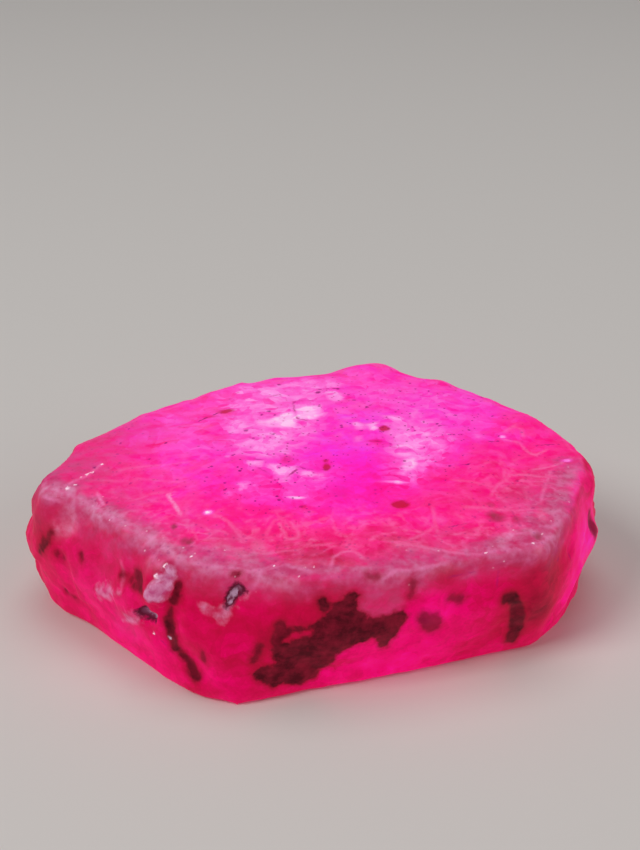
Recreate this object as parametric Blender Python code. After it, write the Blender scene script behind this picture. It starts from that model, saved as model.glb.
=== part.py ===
"""Raw ruby crystal: one cloudy, broken tablet of corundum lying on its flat underside.

The stone is a low slab, a little higher at the back, with a rounded shoulder between its top and its
steep sides. All lengths below are millimetres; the mesh is built in metres, +Z up, with the origin on
the underside, in the middle of the stone's length and depth.
"""
import math

import bmesh
import bpy
from mathutils import Vector, noise

MM = 0.001

# Driving dimensions.
FRONT_HEIGHT = 7.7          # height of the front edge of the top face above the underside
TOP_TILT = math.radians(4.9)    # the top face climbs towards the back
FRONT_EDGE_Y = -15.3        # where the front edge of the top face lies
CROWN_INSET = 1.7           # width of the rounded shoulder, measured on the top face
CROWN_RISE = 0.25           # how far the shoulder lifts the top face above its edge
DOME_RISE = 0.35            # swelling of the top face at its middle

VOXEL = 0.34                # grid that the sculpting works on
TRIANGLE_SHARE = 0.19       # share of the sculpted triangles that the finished stone keeps
TOUCH_DOWN = 0.05           # skin lower than this belongs to the flat of the underside


def top_height(y):
    """Height of the edge of the top face at a place along the depth."""
    return FRONT_HEIGHT + math.tan(TOP_TILT) * (y - FRONT_EDGE_Y)


# One profile for each corner of the stone, going round it anticlockwise from the front corner:
# a point of the underside (x, y), a point of the widest line (x, y, height), and a point of the
# edge of the top face (x, y).
PROFILES = (
    # long front face, which leans out over the underside
    ((-4.7, -15.4), (-5.6, -15.7, 3.4), (-4.7, -14.7)),
    ((-2.6, -14.7), (-2.4, -15.5, 4.2), (-1.3, -15.2)),
    ((0.6, -13.7), (1.0, -15.1, 4.4), (1.4, -15.2)),
    ((4.2, -12.6), (4.3, -14.2, 4.4), (4.1, -14.5)),
    ((8.0, -11.2), (8.3, -12.9, 4.4), (8.3, -13.2)),
    ((11.9, -9.8), (12.4, -11.6, 4.2), (11.9, -12.4)),
    # narrow right-hand face
    ((13.5, -7.7), (14.3, -8.8, 4.6), (13.7, -8.9)),
    ((14.8, -4.8), (15.9, -5.2, 5.0), (15.1, -4.7)),
    ((15.8, -1.6), (16.4, -1.7, 4.6), (14.9, -1.9)),
    # back, from right to left, with a lump that stands out of its middle
    ((14.3, 3.0), (14.9, 2.6, 5.0), (12.8, 1.3)),
    ((10.6, 6.6), (11.3, 6.4, 5.2), (9.3, 4.9)),
    ((6.0, 8.4), (6.8, 8.4, 5.4), (5.6, 6.7)),
    ((3.8, 9.2), (4.2, 9.9, 5.8), (3.9, 8.5)),
    ((1.0, 9.0), (1.2, 9.7, 5.8), (1.7, 7.7)),
    ((-3.2, 8.4), (-3.2, 8.8, 5.2), (-3.0, 6.6)),
    ((-8.0, 6.4), (-8.4, 6.7, 5.0), (-8.2, 4.4)),
    ((-12.2, 3.2), (-13.0, 3.3, 5.0), (-12.3, 1.2)),
    # left end, undercut
    ((-15.2, -0.2), (-16.6, -0.4, 4.4), (-14.8, -1.8)),
    ((-16.6, -3.4), (-17.8, -3.9, 4.4), (-16.1, -5.2)),
    ((-16.0, -5.3), (-17.0, -6.1, 4.8), (-16.0, -6.8)),
    # left front face
    ((-14.0, -7.2), (-15.2, -7.9, 4.8), (-13.8, -7.5)),
    ((-11.4, -9.9), (-12.3, -10.6, 4.6), (-11.5, -9.8)),
    ((-8.8, -13.0), (-9.8, -13.1, 4.8), (-9.3, -11.9)),
    ((-6.8, -14.5), (-7.9, -14.5, 4.2), (-7.6, -13.3)),
)

# Chips that broke off flat: a point on the chip's face, the way the face looks, and its reach.
CHIPS = (
    ((-14.9, -7.9, 8.2), (-0.45, -0.55, 0.70), 2.6),
    ((-16.9, -5.6, 7.6), (-0.85, -0.30, 0.42), 2.2),
    ((-11.4, -10.3, 7.9), (-0.35, -0.65, 0.68), 2.2),
    ((-7.7, -14.2, 6.6), (-0.62, -0.72, 0.30), 2.4),
    ((12.6, -12.2, 7.3), (0.45, -0.62, 0.64), 2.2),
    ((15.3, -6.4, 8.1), (0.78, -0.30, 0.55), 2.4),
    ((13.9, -9.9, 2.4), (0.80, -0.58, -0.15), 2.8),
    ((7.6, 6.6, 8.9), (0.45, 0.70, 0.55), 2.4),
    ((-6.1, 6.6, 8.8), (-0.30, 0.78, 0.55), 2.8),
    ((-13.9, 1.3, 8.2), (-0.65, 0.55, 0.52), 2.8),
    ((13.9, 1.9, 7.9), (0.72, 0.52, 0.46), 2.8),
    ((2.4, 10.0, 4.0), (0.10, 0.97, -0.20), 3.6),
)

# Round hollows and lumps: centre, radius, and how far the skin moves out (+) or in (-).
DIMPLES = (
    ((-9.9, -13.0, 4.4), 0.75, -0.45),     # glassy pit low on the left front face
    ((-5.0, -15.6, 6.3), 0.80, -0.50),     # crescent pit under the front edge
    ((-6.2, -15.2, 5.6), 1.10, -0.22),
    ((-8.9, -12.9, 6.9), 0.95, 0.42),      # small second crystal grown into the front corner
    ((-9.1, -13.3, 5.9), 0.90, 0.34),
    ((2.9, 6.9, 9.9), 1.90, 0.28),         # lump at the back of the top face
    ((-17.2, -5.0, 5.6), 0.90, -0.25),
    ((5.6, -13.7, 5.4), 1.60, 0.18),
    ((-2.0, 9.0, 5.0), 2.20, -0.45),
    ((9.2, 7.6, 5.6), 2.40, 0.35),
    ((-10.8, 5.2, 5.4), 2.00, 0.30),
)

# Grooves where flakes have come out: points along the groove, half its width, and its depth.
GROOVES = (
    (((-7.6, -13.6, 7.0), (-8.1, -13.9, 5.6), (-8.0, -14.3, 3.9)), 0.42, 0.32),
    (((-7.4, -14.6, 2.7), (-6.5, -15.1, 1.5)), 0.50, 0.30),
    (((-16.4, -6.2, 5.6), (-16.9, -5.3, 4.2)), 0.35, 0.28),
    (((9.8, -12.9, 4.6), (10.9, -12.0, 3.6), (10.6, -11.6, 1.8)), 0.35, 0.16),
    (((-11.9, -10.9, 4.9), (-11.8, -11.1, 3.2)), 0.30, 0.22),
)

# Low steps on the top face, as growth left them: a point (x, y) on the step's line, the way down
# (x, y), the step's length to each side of the point, and its height.
STEPS = (
    ((11.0, -3.4), (0.86, -0.50), 5.5, 0.28),
    ((7.8, -9.4), (0.30, -0.95), 5.0, 0.22),
    ((-3.0, -11.2), (-0.20, -0.98), 6.0, 0.22),
    ((-10.6, -6.0), (-0.70, -0.71), 4.5, 0.30),
    ((-6.4, 1.6), (-0.45, 0.89), 5.0, 0.20),
)


def clear_scene():
    for existing in list(bpy.data.objects):
        bpy.data.objects.remove(existing, do_unlink=True)


def top_rings(edge, centre):
    """Rings of the top face: its edge, the top of the shoulder, and two rings of the dome."""
    rings = [[Vector((x, y, top_height(y))) for x, y in edge]]
    for share, dome in ((None, 0.10), (0.62, 0.65), (0.30, 0.92)):
        ring = []
        for x, y in edge:
            out = Vector((x, y)) - centre
            inner = out * (1.0 - CROWN_INSET / out.length if share is None else share)
            place = centre + inner
            ring.append(Vector((*place, top_height(place.y) + CROWN_RISE + DOME_RISE * dome)))
        rings.append(ring)
    return rings


def loft_rings(rings, middle):
    """A closed body through the rings, capped below by a flat face and above by a fan."""
    bm = bmesh.new()
    loops = [[bm.verts.new(point * MM) for point in ring] for ring in rings]
    count = len(loops[0])
    for lower, upper in zip(loops, loops[1:]):
        for i in range(count):
            j = (i + 1) % count
            bm.faces.new((lower[i], lower[j], upper[j], upper[i]))
    bm.faces.new(reversed(loops[0]))
    tip = bm.verts.new(middle * MM)
    for i in range(count):
        bm.faces.new((loops[-1][i], loops[-1][(i + 1) % count], tip))
    bmesh.ops.triangulate(bm, faces=bm.faces)
    return bm


def rough_body():
    """The stone's main faces, as corners joined by flat facets."""
    below = [Vector((x, y, 0.0)) for (x, y), _, _ in PROFILES]
    widest = [Vector(girdle) for _, girdle, _ in PROFILES]
    edge = [rim for _, _, rim in PROFILES]
    centre = Vector((sum(x for x, _ in edge), sum(y for _, y in edge))) / len(edge)
    tops = top_rings(edge, centre)
    middle = Vector((*centre, top_height(centre.y) + CROWN_RISE + DOME_RISE))
    bm = loft_rings([below, widest] + tops, middle)
    mesh = bpy.data.meshes.new("ruby_crystal")
    bm.to_mesh(mesh)
    bm.free()
    stone = bpy.data.objects.new("ruby_crystal", mesh)
    bpy.context.collection.objects.link(stone)
    return stone


def apply_modifier(stone, kind, **settings):
    modifier = stone.modifiers.new(kind.title(), kind)
    for name, value in settings.items():
        setattr(modifier, name, value)
    bpy.context.view_layer.objects.active = stone
    bpy.ops.object.modifier_apply(modifier=modifier.name)


def falloff(distance, reach):
    """1 at the middle, falling smoothly to 0 at the reach."""
    share = min(distance / reach, 1.0)
    return (1.0 - share * share) ** 2


def segment_distance(place, start, end):
    along = end - start
    share = max(0.0, min(1.0, (place - start).dot(along) / along.length_squared))
    return (place - start - along * share).length


def chip_move(place):
    """How far the flat chips cut a place back, as a vector."""
    moved = place.copy()
    for point, facing, reach in CHIPS:
        normal = Vector(facing).normalized()
        offset = moved - Vector(point)
        height = offset.dot(normal)
        if height > 0.0 and offset.length < reach * 1.6:
            moved -= normal * height * min(1.0, 2.0 * falloff(offset.length, reach * 1.6))
    return moved - place


def dimple_height(place):
    height = 0.0
    for centre, radius, rise in DIMPLES:
        height += rise * falloff((place - Vector(centre)).length, radius * 1.5)
    return height


def groove_height(place):
    height = 0.0
    for points, half_width, depth in GROOVES:
        route = [Vector(point) for point in points]
        nearest = min(segment_distance(place, a, b) for a, b in zip(route, route[1:]))
        height = min(height, -depth * falloff(nearest, half_width * 1.6))
    return height


def step_height(place):
    """Lowering of the top face beyond each growth step, fading out away from its line."""
    height = 0.0
    for point, down, half_length, drop in STEPS:
        offset = Vector((place.x - point[0], place.y - point[1]))
        way = Vector(down).normalized()
        past = offset.dot(way)
        side = abs(offset.cross(way))
        wobble = 0.5 * noise.noise(place * 0.45)
        rise = max(0.0, min(1.0, 0.5 + (past + wobble) / 0.5))
        height -= drop * rise * falloff(side, half_length) * falloff(max(past, 0.0), 4.0)
    return height


def broken_facets(place, size):
    """Small flat break faces, each leaning its own way, with a sharp step from one to the next."""
    seed = noise.voronoi(place / size)[1][0]
    lean = noise.noise_vector(seed * 3.7)
    return lean.dot(place - seed * size)


def skin_roughness(place, normal):
    """Broken, uneven skin: strong on the shoulder and the back, faint on the glassy front face."""
    glassy = max(0.0, -normal.y) * (1.0 - abs(normal.z))
    flat_top = max(0.0, normal.z) ** 4
    broken = 1.0 - 0.8 * glassy - 0.75 * flat_top
    lumps = noise.fractal(place * 0.30, 0.9, 2.0, 3)
    grain = noise.noise(place * 1.5 + Vector((7.0, 3.0, 1.0)))
    facets = broken_facets(place, 2.6)
    return 0.14 * lumps + (0.05 * grain + 0.24 * facets) * broken + 0.02 * grain


def underside_height(place):
    """The underside is flat, with shallow hollows where pieces have flaked away."""
    hollow = noise.fractal(place * 0.20 + Vector((4.0, 9.0, 0.0)), 0.9, 2.0, 2) - 0.24
    return max(0.0, 0.8 * hollow)


def sculpt(stone):
    """Chips, pits, lumps, grooves, growth steps and uneven skin, moved along the skin's normals."""
    mesh = stone.data
    moved = []
    for vertex in mesh.vertices:
        place = vertex.co / MM
        normal = vertex.normal.copy()
        if normal.z < -0.8:
            place.z = max(0.0, place.z) + underside_height(place)
            moved.append(place * MM)
            continue
        place += chip_move(place)
        height = skin_roughness(place, normal) + dimple_height(place) + groove_height(place)
        place += normal * height * min(1.0, 0.3 + place.z / 1.5)
        if normal.z > 0.7:
            place.z += step_height(place)
        moved.append(place * MM)
    for vertex, place in zip(mesh.vertices, moved):
        vertex.co = place


def settle_underside(stone):
    """Bring everything that touches down onto one flat plane, at height zero."""
    for vertex in stone.data.vertices:
        if vertex.co.z < TOUCH_DOWN * MM:
            vertex.co.z = 0.0


def centre_on_origin(stone):
    """Put the origin under the middle of the stone's length and depth."""
    xs = [vertex.co.x for vertex in stone.data.vertices]
    ys = [vertex.co.y for vertex in stone.data.vertices]
    shift = Vector(((min(xs) + max(xs)) / 2, (min(ys) + max(ys)) / 2, 0.0))
    for vertex in stone.data.vertices:
        vertex.co -= shift


def ruby_material():
    material = bpy.data.materials.new("raw ruby")
    material.use_nodes = True
    surface = material.node_tree.nodes["Principled BSDF"]
    surface.inputs["Base Color"].default_value = (0.74, 0.012, 0.13, 1.0)
    surface.inputs["Roughness"].default_value = 0.32
    surface.inputs["Metallic"].default_value = 0.0
    surface.inputs["IOR"].default_value = 1.77
    return material


def build():
    clear_scene()
    stone = rough_body()
    apply_modifier(stone, "REMESH", mode="VOXEL", voxel_size=VOXEL * MM)
    apply_modifier(stone, "SMOOTH", factor=0.5, iterations=7)
    sculpt(stone)
    apply_modifier(stone, "SMOOTH", factor=0.35, iterations=1)
    apply_modifier(stone, "DECIMATE", ratio=TRIANGLE_SHARE, use_collapse_triangulate=True)
    settle_underside(stone)
    centre_on_origin(stone)
    stone.data.materials.append(ruby_material())


build()
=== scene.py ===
"""Looks of a raw ruby crystal: one cloudy, broken tablet of corundum, with a painted glow that stands in for
light shining through it.
"""

import math

import bpy
import numpy as np
from mathutils import Matrix, Vector, noise


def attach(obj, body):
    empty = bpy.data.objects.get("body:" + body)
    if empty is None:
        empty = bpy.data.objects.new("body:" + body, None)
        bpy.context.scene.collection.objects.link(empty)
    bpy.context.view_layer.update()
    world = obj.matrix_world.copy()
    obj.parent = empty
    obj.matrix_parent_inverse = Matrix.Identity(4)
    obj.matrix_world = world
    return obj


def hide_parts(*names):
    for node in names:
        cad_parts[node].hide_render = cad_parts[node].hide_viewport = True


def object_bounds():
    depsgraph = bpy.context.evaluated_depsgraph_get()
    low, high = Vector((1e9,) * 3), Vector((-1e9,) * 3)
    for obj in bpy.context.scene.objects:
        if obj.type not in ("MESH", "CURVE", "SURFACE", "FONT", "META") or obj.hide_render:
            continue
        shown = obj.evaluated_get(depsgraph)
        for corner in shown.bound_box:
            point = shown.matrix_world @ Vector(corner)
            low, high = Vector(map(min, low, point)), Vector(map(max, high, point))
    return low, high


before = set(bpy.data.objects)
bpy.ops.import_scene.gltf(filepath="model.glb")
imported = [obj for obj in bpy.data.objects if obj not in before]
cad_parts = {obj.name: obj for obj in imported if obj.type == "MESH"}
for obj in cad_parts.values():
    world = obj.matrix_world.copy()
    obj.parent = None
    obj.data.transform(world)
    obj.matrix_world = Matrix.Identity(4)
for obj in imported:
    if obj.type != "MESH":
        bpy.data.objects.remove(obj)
cad_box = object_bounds()


# --- The stone -----------------------------------------------------------------------------------
# One tablet of raw ruby as it broke out of the rock. The solid's main faces are kept, and its skin
# is worked finer: glassy break faces, a bruised and frosted shoulder, pits, chips, a grown crystal,
# and grain. Marks under the skin, such as mica and healed cracks, are painted and not raised.

MM = 0.001                      # all places and sizes below are in millimetres
GRID = 0.158                    # spacing of the fine mesh's points
SOFTENING = 12                  # smoothing passes that melt the solid's facets together
FAR = 3.0                       # a distance that stands for nowhere near


def work_on(piece):
    """Make one object the only selected one, and the active one."""
    bpy.ops.object.select_all(action="DESELECT")
    piece.select_set(True)
    bpy.context.view_layer.objects.active = piece


def finish_modifier(piece, kind, **settings):
    """Add one modifier with its settings and apply it."""
    modifier = piece.modifiers.new(kind.title(), kind)
    for name, value in settings.items():
        setattr(modifier, name, value)
    work_on(piece)
    bpy.ops.object.modifier_apply(modifier=modifier.name)


def read_skin(piece):
    """Places of the mesh points, and the way the skin faces at each."""
    count = len(piece.data.vertices)
    spots = np.empty(count * 3, dtype=np.float32)
    ways = np.empty(count * 3, dtype=np.float32)
    piece.data.vertices.foreach_get("co", spots)
    piece.data.vertex_normals.foreach_get("vector", ways)
    return spots.reshape(-1, 3).astype(float) / MM, ways.reshape(-1, 3).astype(float)


def write_places(piece, spots):
    """Move the mesh points to new places."""
    piece.data.vertices.foreach_set("co", (spots * MM).astype(np.float32).ravel())
    piece.data.update()


def smooth_step(value, low, high):
    """0 below low, 1 above high, and smooth between."""
    share = np.clip((value - low) / (high - low), 0.0, 1.0)
    return share * share * (3.0 - 2.0 * share)


def noise_field(spots, size, seed, octaves=1):
    """Smooth noise of about -1 to 1 with lumps of the given size."""
    shift = Vector((seed * 13.7, seed * 7.3, seed * 3.1))
    if octaves == 1:
        return np.array([noise.noise(Vector(spot) / size + shift) for spot in spots])
    return np.array([noise.fractal(Vector(spot) / size + shift, 0.9, 2.0, octaves) for spot in spots])


def nearest_run(spots, line):
    """Distance to a line of straight runs, the offset from it, its heading there, and the runs passed."""
    reach = np.full(len(spots), np.inf)
    offset = np.zeros_like(spots)
    heading = np.zeros_like(spots)
    passed = np.zeros(len(spots))
    for count, (start, end) in enumerate(zip(line, line[1:])):
        start, end = np.array(start, float), np.array(end, float)
        along = end - start
        share = np.clip((spots - start) @ along / (along @ along), 0.0, 1.0)
        gap = spots - start - share[:, None] * along
        length = np.linalg.norm(gap, axis=1)
        closer = length < reach
        reach = np.where(closer, length, reach)
        offset[closer] = gap[closer]
        heading[closer] = along / np.linalg.norm(along)
        passed = np.where(closer, count + share, passed)
    return reach, offset, heading, passed


def outline_distance(across, up, outline):
    """Distance to a closed outline on a flat view, negative inside it."""
    nearest = np.full(len(across), np.inf)
    inside = np.zeros(len(across), bool)
    for (x0, z0), (x1, z1) in zip(outline, outline[1:] + outline[:1]):
        dx, dz = x1 - x0, z1 - z0
        share = np.clip(((across - x0) * dx + (up - z0) * dz) / (dx * dx + dz * dz), 0.0, 1.0)
        gap = np.hypot(across - x0 - share * dx, up - z0 - share * dz)
        nearest = np.minimum(nearest, gap)
        crosses = (z0 > up) != (z1 > up)
        slope = dx / dz if dz else 0.0
        inside ^= crosses & (across < x0 + (up - z0) * slope)
    return np.where(inside, -nearest, nearest)


def bell(spots, centre, radius):
    """1 at the centre, falling smoothly to 0 at one and a half radii."""
    share = np.minimum(np.linalg.norm(spots - np.array(centre), axis=1) / (1.5 * radius), 1.0)
    return (1.0 - share * share) ** 2


def paint(piece, name, values):
    """Keep one number per mesh point for the material to read."""
    layer = piece.data.attributes.new(name, "FLOAT", "POINT")
    layer.data.foreach_set("value", np.asarray(values, dtype=np.float32))


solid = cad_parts["ruby_crystal"]
stone = bpy.data.objects.new("raw_ruby", solid.data.copy())
bpy.context.collection.objects.link(stone)
work_on(stone)
bpy.ops.object.mode_set(mode="EDIT")
bpy.ops.mesh.select_all(action="SELECT")
bpy.ops.mesh.remove_doubles(threshold=0.001 * MM)
bpy.ops.object.mode_set(mode="OBJECT")
finish_modifier(stone, "REMESH", mode="VOXEL", voxel_size=GRID * MM)
finish_modifier(stone, "SMOOTH", factor=0.5, iterations=SOFTENING)
places, facing = read_skin(stone)
across, back, height_up = places.T

# How far each place belongs to the top, to the underside, to the glassy front and to the left front
# face, and its place along that face, which runs level and turned from the front by about 40 degrees.
LEFT_FACE_HEADING = (0.762, -0.647)
LEFT_FACE_END = -4.0            # the face lies to the left of this
ON_FACE = 0.2                   # a place that belongs to a face by more than this carries its marks
upward = smooth_step(facing[:, 2], 0.55, 0.9)
downward = smooth_step(-facing[:, 2], 0.6, 0.9)
frontward = smooth_step(-facing[:, 1], 0.45, 0.85) * (1.0 - upward)
along_left = across * LEFT_FACE_HEADING[0] + back * LEFT_FACE_HEADING[1]
leftward = facing[:, 0] * LEFT_FACE_HEADING[1] - facing[:, 1] * LEFT_FACE_HEADING[0]
leftward = smooth_step(leftward, 0.2, 0.6) * (1.0 - upward) * (across < LEFT_FACE_END)
faces_front = frontward > ON_FACE
faces_left = leftward > ON_FACE

# The bruised shoulder between the top and the sides: its middle line with its half width, from the
# left end round the front to the right edge.
SHOULDER = (
    ((-15.4, -2.2, 8.4), 0.6), ((-14.6, -3.6, 8.6), 0.8), ((-13.4, -4.2, 8.4), 1.0),
    ((-11.7, -5.7, 8.1), 0.8), ((-10.0, -7.3, 8.0), 0.7), ((-8.2, -8.9, 7.9), 0.7),
    ((-6.1, -10.6, 7.8), 0.8), ((-4.0, -10.9, 7.8), 0.9), ((-1.8, -11.4, 7.8), 0.9),
    ((0.6, -11.4, 7.9), 0.7), ((2.7, -11.4, 7.8), 0.7), ((5.1, -11.0, 7.9), 0.9),
    ((7.2, -10.6, 7.8), 0.7), ((9.4, -9.8, 7.9), 0.7), ((11.0, -9.2, 8.0), 0.9), ((12.6, -7.9, 8.1), 1.1),
    ((13.4, -5.7, 8.5), 0.8), ((14.1, -3.4, 8.6), 0.5), ((14.8, -1.0, 8.7), 0.3),
)
shoulder_gap, _, _, passed = nearest_run(places, [spot for spot, width in SHOULDER])
shoulder_width = np.interp(passed, range(len(SHOULDER)), [width for spot, width in SHOULDER])
frost = shoulder_width - shoulder_gap

# Raised and sunk outlines: a small crystal grown on the corner, pits with steep glassy walls, and
# thin crusts. The lump, the glint pit and the first two crusts are drawn on the left front face, and
# the others on the front.
GROWN_LUMP = (
    (0.80, 7.60), (0.68, 7.42), (0.86, 7.20), (0.62, 7.12), (0.46, 7.02), (0.72, 6.82), (0.46, 6.68),
    (0.26, 6.44), (0.13, 6.09), (0.20, 5.74), (0.40, 5.50), (0.60, 5.62), (0.80, 5.38), (0.98, 5.42),
    (1.02, 5.62), (1.12, 5.86), (1.06, 6.10), (1.22, 6.39), (1.18, 6.66), (1.30, 6.86), (1.18, 7.08),
    (1.22, 7.30), (1.08, 7.50), (0.94, 7.60),
)
GLINT_PIT = (
    (-1.18, 4.13), (-0.60, 4.62), (-0.08, 4.98), (-0.05, 4.66), (0.48, 4.66), (0.36, 4.13), (-0.54, 3.94),
    (-1.01, 3.89),
)
CRESCENT_PIT = (
    (-3.93, 7.29), (-4.20, 7.05), (-4.47, 6.54), (-4.59, 6.04), (-4.50, 5.90), (-4.30, 6.00),
    (-4.05, 6.35), (-3.86, 6.76), (-3.62, 6.84), (-3.42, 6.86), (-3.60, 7.06), (-3.77, 7.24),
)
PALE_CRUSTS = ((-2.15, 3.83), (-1.27, 4.30), (-1.01, 3.79), (-0.67, 3.58), (-1.62, 3.04), (-2.59, 2.78))
WHITE_CRUST = ((-4.52, 4.17), (-3.66, 4.64), (-2.57, 4.92), (-2.16, 4.93), (-3.51, 4.09), (-4.34, 3.90))
FROST_CRUST = (
    (-5.99, 5.93), (-5.67, 5.91), (-5.29, 5.73), (-4.97, 5.75), (-4.65, 5.88), (-4.28, 6.02),
    (-4.05, 6.15), (-4.17, 5.83), (-4.39, 5.55), (-4.60, 5.26), (-4.92, 5.22), (-5.30, 5.27),
    (-5.68, 5.33), (-5.94, 5.60),
)
FLECK_CRUST = ((-3.80, 6.66), (-3.62, 6.76), (-3.50, 6.60), (-3.56, 6.42), (-3.74, 6.42))
LUMP_END = -6.4                 # the lump, the glint pit and the crusts each lie to the left of these
GLINT_PIT_END = -6.0
CRUSTS_END = -7.0
on_left, on_front = (along_left, height_up), (across, height_up)
corner = (leftward + frontward > 0.02) & (across < LUMP_END)
lump = np.where(corner, outline_distance(*on_left, GROWN_LUMP), FAR)
steep = (across < GLINT_PIT_END) & (upward < 0.5)
glint_pit = np.where(steep, outline_distance(*on_left, GLINT_PIT), FAR)
crescent = np.where(faces_front, outline_distance(*on_front, CRESCENT_PIT), FAR)
crust = np.minimum(outline_distance(*on_left, PALE_CRUSTS), outline_distance(*on_left, WHITE_CRUST))
crust = np.where(faces_left & (across < CRUSTS_END), crust, FAR)
front_crusts = np.minimum(outline_distance(*on_front, FROST_CRUST), outline_distance(*on_front, FLECK_CRUST))
crust = np.minimum(crust, np.where(faces_front, front_crusts, FAR))

# How far each outline rises, half the width of its slope, and how far noise pushes its edge about.
RISES = ((lump, 0.34, 0.22), (glint_pit, -0.42, 0.20), (crescent, -0.40, 0.18), (crust, 0.06, 0.20))
EDGE_PUSH = 0.16
CURDLED_RISE = 0.14             # lumpiness of the grown crystal's skin
height = np.zeros(len(places))
ragged = noise_field(places, size=0.5, seed=6, octaves=2)
for shape, rise, slope in RISES:
    height += rise * smooth_step(-shape + EDGE_PUSH * ragged, -slope, slope)
height += CURDLED_RISE * noise_field(places, size=0.42, seed=7) * smooth_step(-lump, -0.1, 0.3)

# Chips out of the edges, dents in the faces, knobs on the corner, and low swellings of the ends and
# of the back edge: centre, radius, and rise.
DENTS = (
    ((-9.9, -8.6, 5.9), 0.55, -0.20), ((-10.4, -8.3, 5.6), 0.35, 0.12), ((-14.2, -5.2, 5.1), 0.28, -0.10),
    ((-12.9, -6.0, 5.7), 0.28, -0.10), ((-14.2, -4.3, 2.4), 0.30, -0.12),
    ((-7.0, -11.2, 5.9), 0.45, -0.16), ((-7.65, -10.8, 4.2), 0.40, -0.10),
    ((-7.6, -10.9, 3.2), 0.35, -0.12), ((-6.8, -11.5, 2.0), 0.55, -0.12),
    ((-4.0, -11.5, 7.8), 0.25, -0.10), ((3.1, -11.7, 7.7), 0.45, -0.12), ((11.2, -9.0, 4.0), 0.60, -0.10),
    ((12.1, -8.4, 8.1), 0.40, -0.12), ((-15.9, -2.9, 3.3), 0.35, -0.12), ((-14.5, -2.6, 8.7), 0.60, 0.10),
    ((-6.7, -8.8, 8.2), 0.45, -0.08), ((-12.4, -1.6, 8.9), 0.50, 0.07), ((14.3, -6.6, 6.1), 0.45, -0.14),
    ((16.1, -2.8, 5.8), 0.55, -0.16), ((6.3, -10.8, 4.0), 0.45, -0.06), ((15.2, 0.6, 8.3), 0.50, -0.12),
    ((4.9, -5.7, 8.7), 0.35, -0.06), ((10.4, -6.8, 8.3), 0.45, -0.07), ((-4.9, 9.7, 8.9), 0.50, -0.14),
    ((-7.6, -10.2, 7.4), 0.28, 0.22), ((-8.1, -10.4, 7.05), 0.25, 0.20), ((-8.6, -10.6, 5.9), 0.45, 0.16),
    ((-7.5, -10.6, 6.5), 0.30, 0.08), ((14.2, 3.0, 8.6), 2.40, 0.30), ((15.9, -0.8, 7.8), 1.40, 0.34),
    ((-16.3, -2.2, 7.2), 1.10, 0.28), ((7.9, 8.7, 9.4), 1.00, 0.24), ((6.3, 9.3, 9.6), 0.90, 0.20),
    ((-4.6, 8.4, 9.4), 2.60, 0.16),
)
for centre, radius, rise in DENTS:
    height += rise * bell(places, centre, radius)

# Skin: sugary grain on the shoulder, shallow scoops on the top, gentle glassy waves in front, and
# behind them the small, sharp-rimmed steps of broken corundum.
BRUISE_GRAIN = 0.050
BREAK_GRAIN = 0.015
TOP_SCOOPS = 0.012
BREAK_SCOOPS = 0.030
BRUISE_SCOOPS = 0.022
FRONT_WAVES = 0.030
STEP_HEIGHT = 0.050
STEPS_PER_LUMP = 2.2
grain = noise_field(places, size=0.36, seed=2)
scoops = noise_field(places, size=1.1, seed=3, octaves=3)
waves = noise_field(places, size=2.4, seed=4, octaves=2)
terraces = noise_field(places * (1.0, 1.0, 1.6), size=1.5, seed=5, octaves=3)
terraces = np.abs((terraces * STEPS_PER_LUMP) % 1.0 - 0.5)
bruised = smooth_step(frost + 0.35 * ragged, -0.3, 0.5)
broken = (1.0 - frontward) * (1.0 - 0.85 * upward)
behind = smooth_step(back, -3.0, 1.0)
height += BRUISE_GRAIN * grain * bruised + BREAK_GRAIN * grain * broken
height += scoops * (TOP_SCOOPS * upward + BREAK_SCOOPS * broken + BRUISE_SCOOPS * bruised)
height += FRONT_WAVES * waves * frontward
height -= STEP_HEIGHT * smooth_step(terraces, 0.0, 0.16) * broken * (1.0 - bruised) * behind
height *= 1.0 - downward
places += facing * height[:, None]
low, high = np.array(cad_box[0]) / MM, np.array(cad_box[1]) / MM
places = np.clip(places, low, high)
across, back, height_up = places.T
write_places(stone, places)
work_on(stone)
bpy.ops.object.shade_smooth()
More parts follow.
